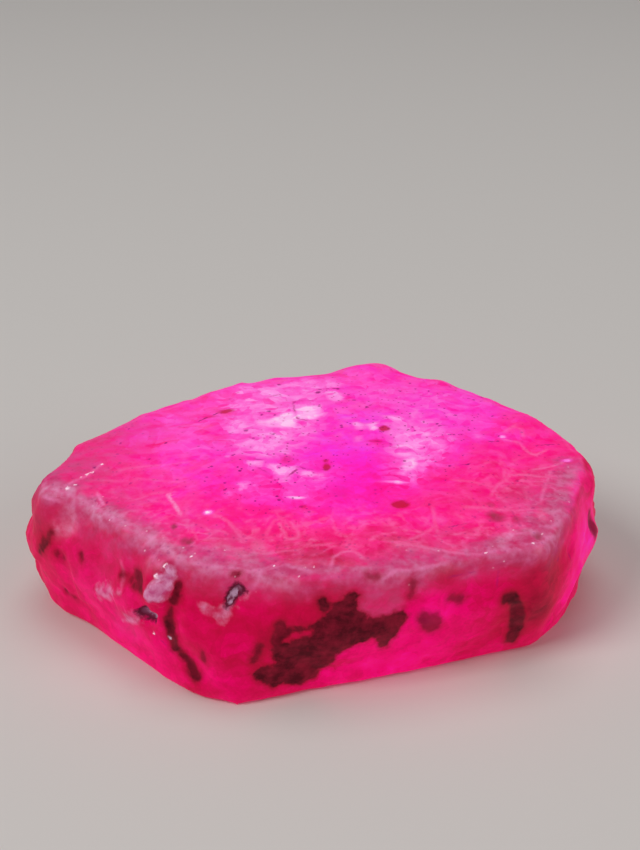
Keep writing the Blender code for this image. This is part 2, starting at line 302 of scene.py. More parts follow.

# Painted glow, standing in for light that shines up through the cloudy stone: how bright and how violet each
# place is, from dark crimson at 0 to violet at 1. Each glow is a centre, a radius, and how much it adds.
BASE_GLOW = 0.42
TOP_GLOW = 0.24
GLOWS = (
    ((2.0, -1.0, 9.2), 6.0, 0.16), ((0.0, 5.5, 9.6), 8.0, 0.13), ((7.0, 5.0, 9.5), 5.5, 0.06),
    ((-4.5, -0.5, 9.2), 4.0, 0.06), ((2.0, -6.3, 8.8), 2.5, 0.07), ((12.5, -3.0, 8.8), 4.5, -0.07),
    ((10.5, -7.0, 8.4), 3.0, -0.06), ((-13.5, 0.0, 8.7), 4.0, -0.10), ((-9.0, -5.5, 8.6), 3.0, -0.03),
    ((0.0, -9.8, 8.1), 2.6, -0.11), ((5.0, -11.0, 1.4), 3.4, 0.16), ((2.0, -12.0, 0.6), 2.4, 0.08),
    ((6.2, -10.9, 5.2), 1.4, 0.16), ((9.4, -10.0, 2.0), 2.6, 0.04), ((8.4, -10.2, 5.0), 1.6, 0.05),
    ((12.4, -8.8, 3.4), 2.3, -0.26), ((12.2, -9.0, 6.2), 1.6, -0.12), ((15.5, -4.0, 5.6), 2.6, 0.38),
    ((14.4, -5.9, 2.6), 2.2, 0.14), ((13.6, -7.2, 5.2), 1.0, -0.10), ((-11.5, -7.5, 3.0), 3.6, 0.10),
    ((-9.5, -9.0, 0.8), 2.6, 0.10), ((-4.5, -12.4, 0.4), 2.0, 0.01), ((-3.0, -12.4, 4.3), 2.6, -0.08),
    ((0.6, -12.2, 6.0), 2.0, -0.05), ((-15.2, -3.6, 6.6), 1.4, -0.14), ((-9.0, -9.3, 7.0), 1.8, -0.06),
    ((-5.6, -12.0, 6.8), 1.4, -0.06), ((7.3, -10.8, 7.0), 1.3, -0.05), ((3.5, -9.5, 8.2), 2.6, -0.06),
    ((-8.0, -3.3, 9.0), 2.6, 0.12), ((-2.6, -5.2, 8.9), 3.0, 0.05), ((-10.7, -4.9, 8.5), 1.8, -0.05),
    ((0.0, 12.0, 2.0), 9.0, 0.12), ((9.5, 4.0, 9.5), 4.0, 0.16), ((-9.5, 2.5, 9.3), 3.4, 0.09),
)
glow = BASE_GLOW + TOP_GLOW * upward
for centre, radius, gain in GLOWS:
    gap = np.linalg.norm(places - np.array(centre), axis=1)
    glow += gain * np.exp(-(gap / radius) ** 2)

# Haze: a thin dull skin over the ends of the top, the back and the underside, along the shoulder,
# and over a frosted lobe on the front. Each patch is a centre, a radius and a strength.
HAZES = (
    ((-14.0, -1.5, 8.7), 3.2, 1.2), ((-11.0, -4.5, 8.5), 2.4, 0.6), ((-12.0, 2.0, 8.8), 3.2, 0.8),
    ((14.0, -3.2, 8.6), 1.9, 0.9), ((12.2, -5.2, 8.6), 2.0, 0.7), ((12.3, -8.0, 8.2), 2.0, 0.7),
    ((6.8, -9.3, 8.2), 1.9, 0.5), ((-4.6, -9.3, 8.1), 1.9, 0.7), ((-11.5, -7.0, 5.4), 3.0, 0.28),
    ((-7.0, -7.8, 8.5), 1.3, 0.5), ((-15.6, 0.6, 8.0), 2.0, 0.8), ((-12.6, -6.2, 7.4), 1.3, 0.8),
    ((-9.2, -8.8, 7.2), 1.3, 0.5), ((-10.9, -7.2, 7.1), 1.3, 0.8), ((-10.3, -8.3, 2.8), 1.4, 0.5),
    ((0.5, 12.0, 7.0), 4.0, 0.7), ((9.0, 9.6, 6.5), 3.5, 0.6), ((-9.5, 9.0, 6.5), 3.5, 0.7),
    ((15.5, 3.0, 6.0), 2.6, 0.5),
)
FROSTED_LOBE = (
    (2.47, 7.24), (3.07, 7.60), (4.56, 7.60), (4.70, 5.83), (4.46, 5.10), (3.78, 4.76), (3.09, 4.98),
    (2.55, 5.38), (2.25, 5.99), (2.40, 6.57),
)
haze = np.zeros(len(places))
for centre, radius, strength in HAZES:
    haze = np.maximum(haze, strength * bell(places, centre, radius))
lobe = np.where(faces_front, outline_distance(*on_front, FROSTED_LOBE), FAR)
beside_shoulder = smooth_step(frost, -1.3, 0.1)
for cover, strength in ((beside_shoulder, 0.75), (downward, 0.6), (smooth_step(-lobe, -0.4, 0.2), 0.85)):
    haze = np.maximum(haze, strength * cover)


def streaks(marks):
    """Strength of lens-shaped marks that lie along the stone."""
    value = np.zeros(len(places))
    for centre, half_length, half_width, strength in marks:
        offset = (places - np.array(centre)) / np.array((half_length, half_width, 0.9))
        value = np.maximum(value, strength * np.exp(-((offset ** 2).sum(axis=1) ** 1.3)))
    return value


# Clear cells, where the bruise left the deeper colour bare and the painted glow is a little dimmer: centre,
# half its length along the stone, half its width, strength. Behind the shoulder the painted glow is dimmer
# in one band.
CLEARINGS = (
    ((1.7, -10.8, 8.0), 0.75, 0.50, 1.0), ((-0.1, -10.2, 8.1), 0.75, 0.40, 0.9),
    ((-1.4, -10.1, 8.1), 0.50, 0.36, 0.7), ((3.3, -10.4, 8.1), 0.70, 0.35, 0.6),
    ((-6.6, -8.2, 8.4), 0.60, 0.35, 0.6), ((6.0, -9.1, 8.3), 0.70, 0.35, 0.6),
    ((-3.5, -8.0, 8.4), 0.60, 0.40, 0.5), ((12.6, -6.6, 8.3), 0.45, 0.50, 0.5),
    ((-12.3, -3.9, 8.6), 0.60, 0.40, 0.6), ((7.2, -10.9, 7.1), 1.10, 0.55, 0.8),
)
DIM_GLOW_LINE = -9.4                # the middle of the dim band of painted glow, from front to back, and its half width
DIM_GLOW_WIDTH = 1.3
clearing = streaks(CLEARINGS)
dimmed_glow = upward * np.exp(-((back - DIM_GLOW_LINE) / DIM_GLOW_WIDTH) ** 2)
paint(stone, "glow", glow - 0.10 * clearing - 0.07 * dimmed_glow)
paint(stone, "frost", frost - 1.3 * clearing)
paint(stone, "haze", haze * (1.0 - 0.8 * clearing))

# The whitest bruises: soft crests of crushed crystal along the shoulder, each a strength and a line.
CREST_WIDTH = 0.48
CRESTS = (
    (1.1, ((-15.4, -3.4, 8.5), (-14.7, -3.7, 8.6), (-13.8, -3.7, 8.7), (-12.9, -4.8, 8.4),
        (-12.1, -5.5, 8.2), (-11.1, -6.1, 8.2))),
    (0.95, ((-11.1, -6.1, 8.2), (-10.2, -7.0, 8.1), (-9.6, -7.8, 8.1), (-8.5, -8.5, 8.0),
        (-7.7, -9.3, 8.0), (-7.1, -9.9, 7.9))),
    (0.6, ((-7.1, -9.9, 7.9), (-6.1, -10.7, 7.8), (-5.2, -10.9, 7.8), (-4.0, -11.1, 7.9),
        (-2.9, -11.6, 7.7), (-1.2, -12.1, 7.6))),
    (0.9, ((-13.5, -4.6, 7.7), (-13.4, -4.9, 6.9), (-14.2, -4.6, 6.6))),
    (0.4, ((-0.8, -11.0, 8.0), (0.9, -11.4, 7.9), (2.7, -11.4, 7.9), (3.7, -11.7, 7.5),
        (4.3, -11.5, 7.7), (7.2, -10.7, 7.8))),
    (0.3, ((7.2, -10.7, 7.8), (8.6, -10.0, 7.9), (9.7, -9.9, 8.0), (11.0, -9.6, 7.9), (12.4, -9.4, 7.6))),
    (0.3, ((4.4, -9.5, 8.4), (6.1, -9.8, 8.2), (7.3, -10.0, 8.1), (8.6, -10.0, 7.9))),
    (0.7, ((9.9, -9.4, 8.1), (10.3, -8.6, 8.2), (10.9, -8.2, 8.2), (11.7, -8.1, 8.2))),
    (0.6, ((12.0, -9.3, 7.9), (12.8, -8.5, 7.9), (13.2, -7.6, 8.0), (13.6, -6.2, 8.4),
        (12.9, -6.1, 8.4), (12.4, -7.0, 8.3))),
    (0.5, ((13.7, -5.1, 8.5), (14.3, -3.3, 8.5), (14.9, -1.8, 8.7))),
    (0.6, ((-2.9, -9.2, 8.1), (-2.7, -9.8, 8.0), (-3.3, -10.4, 8.0), (-4.3, -9.8, 8.0),
        (-4.8, -9.4, 8.1))),
    (0.5, ((-8.5, -9.8, 7.4), (-7.9, -10.2, 7.6))),
    (0.3, ((-13.6, -5.0, 7.9), (-12.4, -5.6, 7.9), (-11.2, -6.5, 7.9))),
)
crest = np.zeros(len(places))
for strength, line in CRESTS:
    crest = np.maximum(crest, strength * np.exp(-(nearest_run(places, line)[0] / CREST_WIDTH) ** 2))
paint(stone, "crest", crest)

# Seams, painted rim highlights and splits are lines on the skin: how strong each is, and the points along
# it. The signed side of the nearest line is kept, because a thin line stays sharp on it between the mesh
# points.
LINE_REACH = 0.32               # how far from a line its strength is kept
SEAMS_AND_RIM_HIGHLIGHTS = (
    (0.6, ((-6.1, -6.8, 8.7), (-5.4, -6.8, 8.7), (-4.6, -7.4, 8.6), (-4.1, -8.0, 8.3),
        (-3.7, -8.7, 8.1))),
    (0.8, ((-1.8, -7.7, 8.6), (-1.5, -8.4, 8.4), (-1.4, -8.8, 8.2), (-0.8, -8.7, 8.2),
        (-0.7, -8.4, 8.3), (-1.1, -7.7, 8.5))),
    (0.6, ((-0.7, -7.9, 8.5), (0.6, -7.3, 8.6))),
    (0.5, ((-2.4, -8.2, 8.4), (-2.1, -7.5, 8.6), (-1.4, -7.1, 8.7))),
    (0.7, ((-0.3, -9.4, 8.1), (0.9, -9.2, 8.2))),
    (0.6, ((-2.2, -9.9, 8.0), (-0.7, -9.7, 8.1), (-0.2, -9.2, 8.2))),
    (0.9, ((1.0, -11.1, 8.0), (1.1, -10.5, 8.1), (1.6, -10.0, 8.1), (2.2, -10.0, 8.2),
        (2.6, -10.5, 8.1))),
    (0.7, ((4.2, -9.3, 8.3), (5.7, -9.5, 8.3), (6.7, -9.9, 8.1))),
    (0.7, ((6.6, -6.5, 8.8), (6.7, -8.0, 8.3))),
    (0.7, ((5.3, -9.0, 8.4), (5.9, -8.5, 8.4), (6.6, -7.8, 8.4))),
    (0.4, ((3.6, -7.4, 8.6), (4.0, -7.9, 8.5), (4.6, -8.0, 8.5))),
    (0.7, ((11.5, 2.1, 9.3), (12.0, 2.5, 9.4), (12.4, 2.2, 9.2), (12.4, 1.6, 9.2))),
    (0.8, ((11.4, 1.0, 9.2), (12.2, 0.7, 9.1), (12.7, 0.0, 8.9), (13.0, -0.2, 8.9), (13.5, 0.2, 8.9))),
    (0.9, ((12.8, -1.9, 8.8), (13.8, -1.5, 8.8), (14.8, -0.7, 8.7))),
    (0.8, ((11.2, -2.5, 8.8), (12.3, -2.5, 8.8), (13.1, -2.7, 8.7), (14.1, -2.5, 8.7))),
    (0.6, ((11.8, -3.2, 8.8), (13.0, -3.1, 8.7), (14.0, -3.5, 8.6))),
    (0.9, ((13.6, -2.1, 8.8), (13.0, -4.0, 8.6), (12.7, -5.1, 8.5))),
    (0.7, ((10.0, -4.7, 8.7), (10.3, -4.0, 8.8), (11.1, -2.8, 8.8))),
    (0.7, ((8.5, -6.2, 8.7), (9.8, -6.1, 8.5), (11.3, -6.2, 8.5), (11.9, -6.1, 8.5))),
    (0.4, ((11.9, -4.3, 8.7), (11.9, -5.9, 8.6))),
    (0.8, ((10.6, -8.6, 8.2), (10.8, -8.3, 8.2), (11.7, -8.2, 8.1))),
    (0.5, ((8.0, -3.4, 8.9), (9.1, -3.7, 8.9), (10.0, -4.0, 8.8))),
    (2.2, ((-8.0, -4.8, 8.7), (-7.6, -5.6, 8.6), (-7.3, -6.4, 8.6))),
    (0.9, ((-13.8, -3.2, 8.7), (-13.0, -2.4, 8.8), (-12.2, -1.5, 8.9))),
    (1.8, ((-12.0, -4.2, 8.6), (-11.7, -4.9, 8.4))),
    (0.5, ((-9.9, -4.7, 8.4), (-9.1, -4.2, 8.5), (-7.8, -4.5, 8.8))),
    (0.4, ((-11.0, -1.9, 8.9), (-9.3, -1.6, 9.0), (-7.0, -1.5, 9.2))),
    (0.4, ((-11.8, -2.8, 8.7), (-9.8, -2.9, 8.9), (-7.7, -3.5, 8.9))),
    (1.0, ((-15.1, -4.0, 8.3), (-14.3, -4.3, 8.2))),
    (0.7, ((-5.9, -10.7, 7.9), (-4.4, -11.0, 7.9), (-3.4, -11.3, 7.8), (-2.2, -11.2, 7.9),
        (-1.4, -10.9, 7.9), (-0.2, -11.5, 7.9))),
    (0.6, ((-2.9, -11.8, 7.4), (-2.6, -11.3, 7.8), (-1.9, -10.8, 8.0))),
    (0.8, ((3.5, -11.8, 7.4), (4.4, -11.4, 7.8), (5.3, -11.3, 7.8), (6.7, -10.8, 7.8))),
    (0.8, ((4.6, -9.6, 8.4), (5.5, -9.6, 8.3), (7.1, -9.9, 8.1), (8.8, -9.9, 7.9), (9.9, -9.7, 8.0))),
    (0.7, ((-14.2, -3.8, 8.6), (-13.0, -4.4, 8.5), (-11.9, -5.4, 8.3), (-10.7, -6.6, 8.2),
        (-9.3, -7.8, 8.2), (-8.2, -8.7, 8.0))),
    (0.6, ((-10.3, -8.1, 6.3), (-10.3, -8.5, 5.7), (-10.3, -8.7, 5.1))),
    (0.5, ((9.5, 8.0, 9.0), (5.0, 9.6, 9.2), (1.0, 10.2, 9.2), (-4.0, 9.6, 9.0), (-8.5, 7.9, 8.8))),
    (0.3, ((3.0, 12.6, 7.4), (2.2, 12.8, 5.8), (2.9, 12.8, 4.6), (2.4, 12.7, 2.6))),
    (0.3, ((-6.0, 11.3, 7.0), (-4.0, 12.2, 6.4), (-2.4, 12.6, 5.0))),
    (0.2, ((15.9, 1.8, 7.0), (16.4, 0.6, 5.4), (16.3, 1.5, 3.6))),
    # The last four lines, along the back edge and down both ends, are painted highlights on the rim.
    (0.5, ((-14.4, 0.6, 8.6), (-10.0, 4.6, 9.1), (-6.1, 7.6, 9.3), (-3.6, 8.6, 9.5), (-0.7, 9.0, 9.7),
        (1.4, 9.6, 9.8), (3.2, 10.3, 10.1))),
    (0.5, ((3.2, 10.3, 10.1), (4.7, 10.6, 10.0), (5.9, 9.9, 9.6), (8.6, 8.1, 9.5), (11.0, 5.8, 9.4),
        (14.5, 2.6, 8.7), (15.5, -0.7, 8.6))),
    (0.25, ((16.5, -1.4, 5.4), (16.3, -2.7, 5.3), (15.7, -3.8, 4.8), (15.8, -3.4, 3.4),
        (15.4, -3.5, 2.4))),
    (0.25, ((-15.2, -1.4, 8.3), (-16.3, -1.2, 7.0), (-16.5, -1.6, 5.3), (-16.2, -2.7, 3.4))),
)
SPLITS = (
    (0.7, ((-1.2, 5.8, 9.6), (-0.2, 5.7, 9.7))),
    (0.8, ((-1.2, 5.5, 9.7), (-1.1, 4.2, 9.7), (-0.9, 3.3, 9.6), (-0.6, 3.2, 9.6))),
    (0.5, ((-2.7, 6.3, 9.6), (-1.8, 6.9, 9.6))),
    (1.0, ((0.2, 7.0, 9.7), (0.5, 7.0, 9.7))),
    (0.9, ((0.5, 7.4, 9.7), (1.5, 7.3, 9.8))),
    (1.0, ((-6.7, 3.5, 9.4), (-6.3, 3.9, 9.5), (-5.9, 4.2, 9.5), (-5.2, 4.9, 9.5))),
    (0.6, ((-3.4, -1.4, 9.3), (-2.9, -1.5, 9.3))),
    (0.8, ((-1.3, -3.1, 9.1), (-0.9, -2.6, 9.2))),
    (0.5, ((-3.0, -2.4, 9.2), (-2.5, -2.9, 9.2))),
    (0.8, ((-1.7, -1.9, 9.3), (-1.3, -2.1, 9.3), (-1.0, -2.2, 9.2), (-0.1, -2.5, 9.2), (0.6, -2.5, 9.2))),
    (0.5, ((-1.4, -0.5, 9.3), (-1.0, -0.4, 9.3))),
    (0.7, ((3.2, 4.7, 9.6), (3.5, 5.1, 9.6))),
    (0.7, ((7.4, 2.5, 9.5), (7.7, 2.5, 9.5))),
    (1.0, ((4.9, -0.1, 9.4), (5.4, -0.2, 9.3), (5.9, -0.4, 9.3))),
    (0.6, ((3.2, 0.6, 9.4), (3.6, 0.6, 9.4), (4.2, 0.6, 9.4))),
    (0.7, ((8.8, -1.8, 9.1), (9.0, -1.8, 9.1))),
    (0.9, ((13.3, 0.8, 9.0), (14.0, 0.9, 8.9))),
    (0.7, ((14.2, 1.5, 8.9), (14.6, 1.4, 8.8))),
    (0.8, ((10.3, 0.8, 9.3), (10.7, 0.8, 9.3))),
    (0.6, ((8.7, -0.7, 9.2), (9.2, -0.7, 9.2))),
    (0.7, ((7.7, -7.6, 8.3), (8.2, -7.4, 8.3))),
    (0.9, ((11.0, -6.5, 8.4), (11.2, -7.3, 8.3))),
    (0.7, ((14.2, -6.6, 6.4), (14.3, -6.6, 5.8))),
    (0.6, ((7.4, -10.6, 7.0), (8.3, -10.3, 7.0))),
    (0.8, ((-8.9, -10.2, 3.5), (-8.2, -10.6, 3.0))),
    (0.5, ((9.9, -9.9, 6.7), (9.9, -9.9, 6.1))),
)


def trace(lines):
    """Signed side of the nearest of many lines, and how strongly that line shows."""
    side = np.zeros(len(places))
    shown = np.zeros(len(places))
    closest = np.full(len(places), np.inf)
    for strength, line in lines:
        reach, offset, heading, _ = nearest_run(places, line)
        sideways = np.cross(facing, heading)
        sideways /= np.linalg.norm(sideways, axis=1)[:, None] + 1e-9
        closer = reach < closest
        closest = np.where(closer, reach, closest)
        side = np.where(closer, (offset * sideways).sum(axis=1), side)
        shown = np.where(closer, strength * np.exp(-(reach / LINE_REACH) ** 2), shown)
    return side, shown


for name, lines in (("seam", SEAMS_AND_RIM_HIGHLIGHTS), ("split", SPLITS)):
    side, shown = trace(lines)
    paint(stone, name + "_side", np.clip(side, -2.0, 2.0))
    paint(stone, name, shown)

# Dark mica grown into the stone. The outlines of the big plate and of the hook are seen from the
# front; the smaller flakes are short lines with half a width and a depth, where 1 is deep under the
# skin.
MICA_PLATE = (
    (-3.1, 2.1), (-2.9, 2.6), (-2.2, 2.5), (-1.8, 2.7), (-2.2, 3.4), (-2.0, 3.9), (-1.4, 4.1),
    (-0.7, 4.4), (-0.1, 4.5), (0.2, 4.7), (0.1, 5.0), (-0.7, 4.7), (-1.1, 4.7), (-1.0, 5.0), (-0.1, 4.9),
    (0.4, 5.4), (0.8, 5.8), (1.3, 6.4), (1.8, 6.8), (2.2, 6.9), (2.4, 6.7), (2.3, 6.3), (2.4, 5.8),
    (2.9, 5.3), (3.5, 5.1), (4.1, 5.2), (4.4, 5.3), (4.8, 5.4), (5.0, 4.9), (4.7, 4.4), (4.5, 4.2),
    (4.3, 3.5), (4.0, 2.9), (3.7, 2.9), (3.4, 3.8), (3.0, 3.9), (2.7, 3.6), (2.1, 3.5), (1.6, 3.0),
    (1.2, 2.9), (1.0, 2.3), (0.6, 1.9), (0.2, 1.7), (0.1, 1.1), (-0.3, 1.1), (-0.7, 0.8), (-1.1, 0.9),
    (-1.6, 1.3), (-2.2, 1.0), (-2.7, 1.5),
)
MICA_HOOK = (
    (10.18, 4.75), (10.34, 5.31), (10.71, 5.40), (11.15, 4.98), (11.45, 4.05), (11.66, 3.26),
    (11.60, 2.27), (11.45, 1.58), (11.20, 0.95), (10.74, 1.20), (10.72, 1.70), (10.86, 2.20),
    (10.80, 3.19), (10.72, 4.30), (10.50, 4.75), (10.28, 4.55),
)
FLAKES = (
    (0.26, 0.1, ((-7.05, -10.5, 6.4), (-7.15, -10.6, 6.0), (-7.4, -10.7, 5.6))),
    (0.17, 0.0, ((-7.55, -10.75, 5.2), (-7.6, -10.85, 4.75))),
    (0.25, 0.0, ((-7.65, -10.9, 4.6), (-7.65, -10.9, 4.2), (-7.5, -10.95, 3.6))),
    (0.30, 0.0, ((-7.5, -11.0, 3.5), (-7.4, -11.1, 2.9))),
    (0.26, 0.1, ((-7.1, -11.3, 2.5), (-6.7, -11.5, 2.1))),
    (0.32, 0.1, ((-6.6, -11.5, 1.9), (-6.3, -11.65, 1.5))),
    (0.14, 0.5, ((-5.8, -12.3, 3.4), (-5.8, -12.2, 2.8))),
    (0.17, 0.1, ((-14.75, -4.5, 6.3), (-15.2, -4.2, 5.5), (-15.7, -3.7, 4.6))),
    (0.25, 0.0, ((-15.1, -4.3, 5.6), (-15.45, -4.0, 5.0))),
    (0.30, 0.15, ((-1.65, -12.5, 5.1), (-1.95, -12.5, 4.2))),
    (0.20, 0.1, ((-1.9, -12.5, 4.2), (-1.2, -12.4, 4.9))),
    (0.20, 0.25, ((-2.8, -12.6, 4.0), (-3.1, -12.5, 3.0))),
    (0.28, 0.0, ((0.45, -12.3, 6.5), (0.6, -12.3, 6.1))),
    (0.14, 0.5, ((5.3, -11.5, 7.0), (5.2, -11.5, 6.2))),
    (0.34, 0.45, ((5.9, -11.1, 4.7), (6.4, -10.6, 3.7))),
    (0.20, 0.5, ((6.4, -10.8, 4.6), (6.7, -10.7, 4.1))),
    (0.24, 0.5, ((7.3, -10.6, 5.7), (7.9, -10.4, 5.4))),
    (0.17, 0.6, ((3.0, -11.7, 7.7), (3.35, -11.7, 7.65))),
    (0.38, 0.3, ((-9.5, -9.2, 6.3), (-9.3, -9.6, 6.0))),
    (0.22, 0.2, ((-9.7, -9.3, 5.7), (-9.2, -9.9, 5.8))),
    (0.16, 0.2, ((-9.9, -8.9, 5.9), (-10.4, -8.5, 5.8))),
    (0.15, 0.5, ((-14.2, -5.2, 5.15), (-14.1, -5.2, 5.0))),
    (0.10, 0.5, ((-14.5, -5.0, 5.2), (-14.45, -5.0, 5.1))),
    (0.13, 0.35, ((-12.9, -6.0, 5.7), (-12.8, -6.1, 5.55))),
    (0.12, 0.3, ((-14.2, -4.3, 2.4), (-13.7, -4.7, 2.2))),
    (0.14, 0.2, ((-4.1, -11.5, 7.8), (-3.9, -11.5, 7.75))),
    (0.40, 0.35, ((16.1, -3.0, 6.4), (16.3, -2.6, 5.2))),
    (0.36, 0.2, ((0.9, 12.8, 5.9), (1.8, 12.8, 5.2), (2.6, 12.8, 3.9))),
    (0.50, 0.3, ((2.5, 12.8, 4.3), (3.3, 12.7, 3.0))),
    (0.28, 0.2, ((-1.2, 12.7, 3.0), (-0.2, 12.8, 2.4))),
    (0.30, 0.3, ((-8.6, 9.8, 5.6), (-9.2, 9.2, 4.4))),
    (0.24, 0.2, ((8.4, 10.4, 5.0), (9.0, 9.9, 3.9))),
    (0.30, 0.3, ((-15.6, 2.6, 5.6), (-15.8, 2.0, 4.6))),
)
PLATE_RAGGED, HOOK_RAGGED, FLAKES_RAGGED = 0.9, 0.35, 0.6
MICA_END = -5.0                 # the plate and the hook lie in front of this
in_front = faces_front & (back < MICA_END)
plate = np.where(in_front, outline_distance(*on_front, MICA_PLATE), FAR)
hook = np.where(in_front, outline_distance(*on_front, MICA_HOOK), FAR)
mica = np.minimum(plate, hook)
sunk = np.zeros(len(places))
for half_width, depth, line in FLAKES:
    reach = nearest_run(places, line)[0] - half_width
    sunk = np.where(reach < np.minimum(mica, 0.6), depth, sunk)
    mica = np.minimum(mica, reach)
paint(stone, "mica", np.clip(mica, -2.0, 2.0))
paint(stone, "sunk", sunk)
within = mica + 0.01            # only the nearest shape is within this
ragged_edges = np.where(hook < within, HOOK_RAGGED, FLAKES_RAGGED)
paint(stone, "ragged", np.where(plate < within, PLATE_RAGGED, ragged_edges))

# Pale veils of healed cracks inside the top: strength, how far the edge fades, and the outline seen
# from above. Small bright films lie inside wide faint ones.
VEILS = (
    (0.50, 1.60, ((-5.8, 6.9), (-3.8, 7.8), (-1.8, 8.5), (0.9, 8.8), (0.7, 4.9), (0.6, 3.1),
        (-0.2, 1.3), (-1.6, -1.0), (-2.9, -0.9), (-4.3, -0.6), (-5.3, 1.4), (-5.1, 4.0))),
    (0.50, 1.60, ((4.5, 3.4), (6.2, 4.5), (7.7, 2.5), (8.2, 0.6), (7.5, -0.8), (6.4, -2.2),
        (5.9, -3.4), (4.8, -3.4), (4.6, -1.2))),
    (0.26, 1.30, ((-3.6, -2.0), (-0.4, -1.6), (1.4, -2.6), (0.2, -5.6), (-4.4, -5.2))),
    (0.50, 0.57, ((-2.9, 7.1), (-1.7, 8.3), (-0.7, 8.7), (0.3, 8.8), (0.9, 9.2), (1.7, 8.5),
        (2.0, 8.0), (1.4, 7.4), (0.3, 7.4), (-1.1, 7.2), (-2.0, 6.7), (-2.7, 6.5))),
    (1.00, 0.57, ((-2.1, 3.8), (-1.7, 4.5), (-1.1, 4.1), (-0.9, 3.2), (-1.0, 2.3), (-1.3, 2.0),
        (-1.9, 2.2), (-2.5, 2.3), (-3.3, 2.7), (-3.4, 3.3), (-2.7, 3.4))),
    (0.90, 0.40, ((-1.1, 4.7), (-0.3, 5.0), (0.5, 4.8), (0.6, 3.9), (0.1, 3.3), (-0.8, 3.2),
        (-1.0, 3.9))),
    (0.75, 0.40, ((0.7, 6.8), (1.4, 6.9), (1.8, 6.5), (1.9, 5.8), (1.4, 5.2), (0.9, 5.7))),
    (0.60, 0.95, ((-4.9, 6.0), (-4.0, 6.5), (-2.9, 6.0), (-2.0, 6.5), (-1.7, 5.2), (-2.0, 4.5),
        (-2.7, 4.6), (-3.6, 4.2), (-4.7, 4.0), (-5.0, 4.9))),
    (0.70, 0.57, ((-4.8, 3.9), (-4.1, 3.3), (-3.6, 2.5), (-4.1, 2.1), (-4.7, 2.4), (-4.9, 3.3))),
    (0.65, 0.76, ((-3.6, 2.0), (-2.7, 1.9), (-1.8, 2.0), (-1.0, 1.5), (-1.3, 0.6), (-1.9, -0.1),
        (-2.5, -0.8), (-3.0, -0.4), (-3.1, 0.4), (-2.5, 1.1), (-3.3, 1.4))),
    (0.40, 0.95, ((-4.3, 1.1), (-3.5, 1.1), (-3.2, 0.2), (-3.5, -0.6), (-4.2, -0.3))),
    (0.65, 0.40, ((-3.7, -1.7), (-2.9, -1.7), (-2.9, -2.1), (-3.6, -2.0))),
    (0.60, 0.57, ((-2.5, -2.1), (-1.9, -2.1), (-1.0, -2.3), (-1.3, -3.1), (-1.5, -4.1), (-2.0, -3.5),
        (-2.5, -3.8), (-2.1, -3.1))),
    (0.65, 0.40, ((-0.6, -2.8), (0.1, -2.6), (0.9, -3.0), (0.6, -3.2), (-0.1, -3.3), (-0.6, -3.2))),
    (0.75, 0.40, ((-4.1, -4.0), (-3.7, -4.0), (-3.7, -4.5), (-4.0, -4.6))),
    (0.45, 0.57, ((-4.7, -4.7), (-4.4, -4.8), (-4.4, -5.2), (-4.7, -5.2))),
    (0.45, 0.57, ((-0.6, 2.6), (0.1, 2.6), (0.0, 1.9), (-0.5, 1.8))),
    (0.65, 0.40, ((2.5, 2.8), (3.0, 2.5), (3.1, 1.9), (2.5, 1.9))),
    (0.80, 0.40, ((3.3, 2.5), (3.8, 2.8), (3.9, 2.1), (3.4, 1.8))),
    (0.60, 0.57, ((4.6, 3.2), (5.3, 3.8), (5.7, 3.3), (5.5, 2.8), (4.8, 2.8))),
    (0.40, 0.57, ((6.5, 3.3), (7.1, 4.0), (7.3, 3.0), (6.7, 2.9))),
    (0.90, 0.40, ((6.4, 1.7), (6.9, 1.8), (7.1, 1.4), (6.6, 1.2))),
    (0.75, 0.57, ((6.1, 0.8), (6.9, 1.2), (7.5, 1.0), (7.9, 0.8), (7.8, 0.0), (7.4, -0.5), (6.8, -0.2),
        (6.7, 0.4), (6.3, 0.3))),
    (0.75, 0.40, ((4.8, 0.2), (5.4, 0.6), (6.3, 0.6), (6.3, -0.1), (5.8, -0.1), (4.9, -0.2))),
    (0.65, 0.40, ((4.8, -0.6), (5.6, -0.5), (5.8, -0.9), (5.3, -1.3), (4.9, -0.9))),
    (0.95, 0.40, ((5.3, -1.3), (5.9, -1.1), (6.0, -1.8), (5.7, -2.5), (5.3, -2.7), (5.1, -2.1))),
    (0.70, 0.40, ((4.7, -2.8), (5.2, -2.7), (5.2, -3.0), (4.8, -2.9))),
    (0.75, 0.40, ((6.1, -0.8), (6.5, -0.6), (6.5, -1.2), (6.2, -1.3))),
    (0.40, 0.40, ((5.2, -2.8), (5.9, -2.7), (5.6, -3.2))),
    (0.45, 0.40, ((2.5, 1.4), (2.9, 1.4), (2.9, 0.9), (2.5, 0.7))),
    (0.40, 0.76, ((9.6, 2.1), (9.9, 1.5), (9.9, 0.9), (9.6, 1.1))),
    (0.22, 2.2, ((-10.5, 1.0), (-9.2, 4.8), (-5.5, 7.4), (-4.5, 3.0), (-5.5, -1.0))),
    (0.30, 2.0, ((2.0, 9.2), (6.5, 8.3), (10.5, 5.5), (10.5, 2.8), (7.5, 2.4), (3.0, 5.0))),
)
veil = np.zeros(len(places))
for strength, fade, outline in VEILS:
    reach = outline_distance(across, back, outline)
    veil = np.maximum(veil, strength * smooth_step(-reach, -fade, 0.6 * fade))
paint(stone, "veil", veil * smooth_step(height_up, 7.6, 8.3))

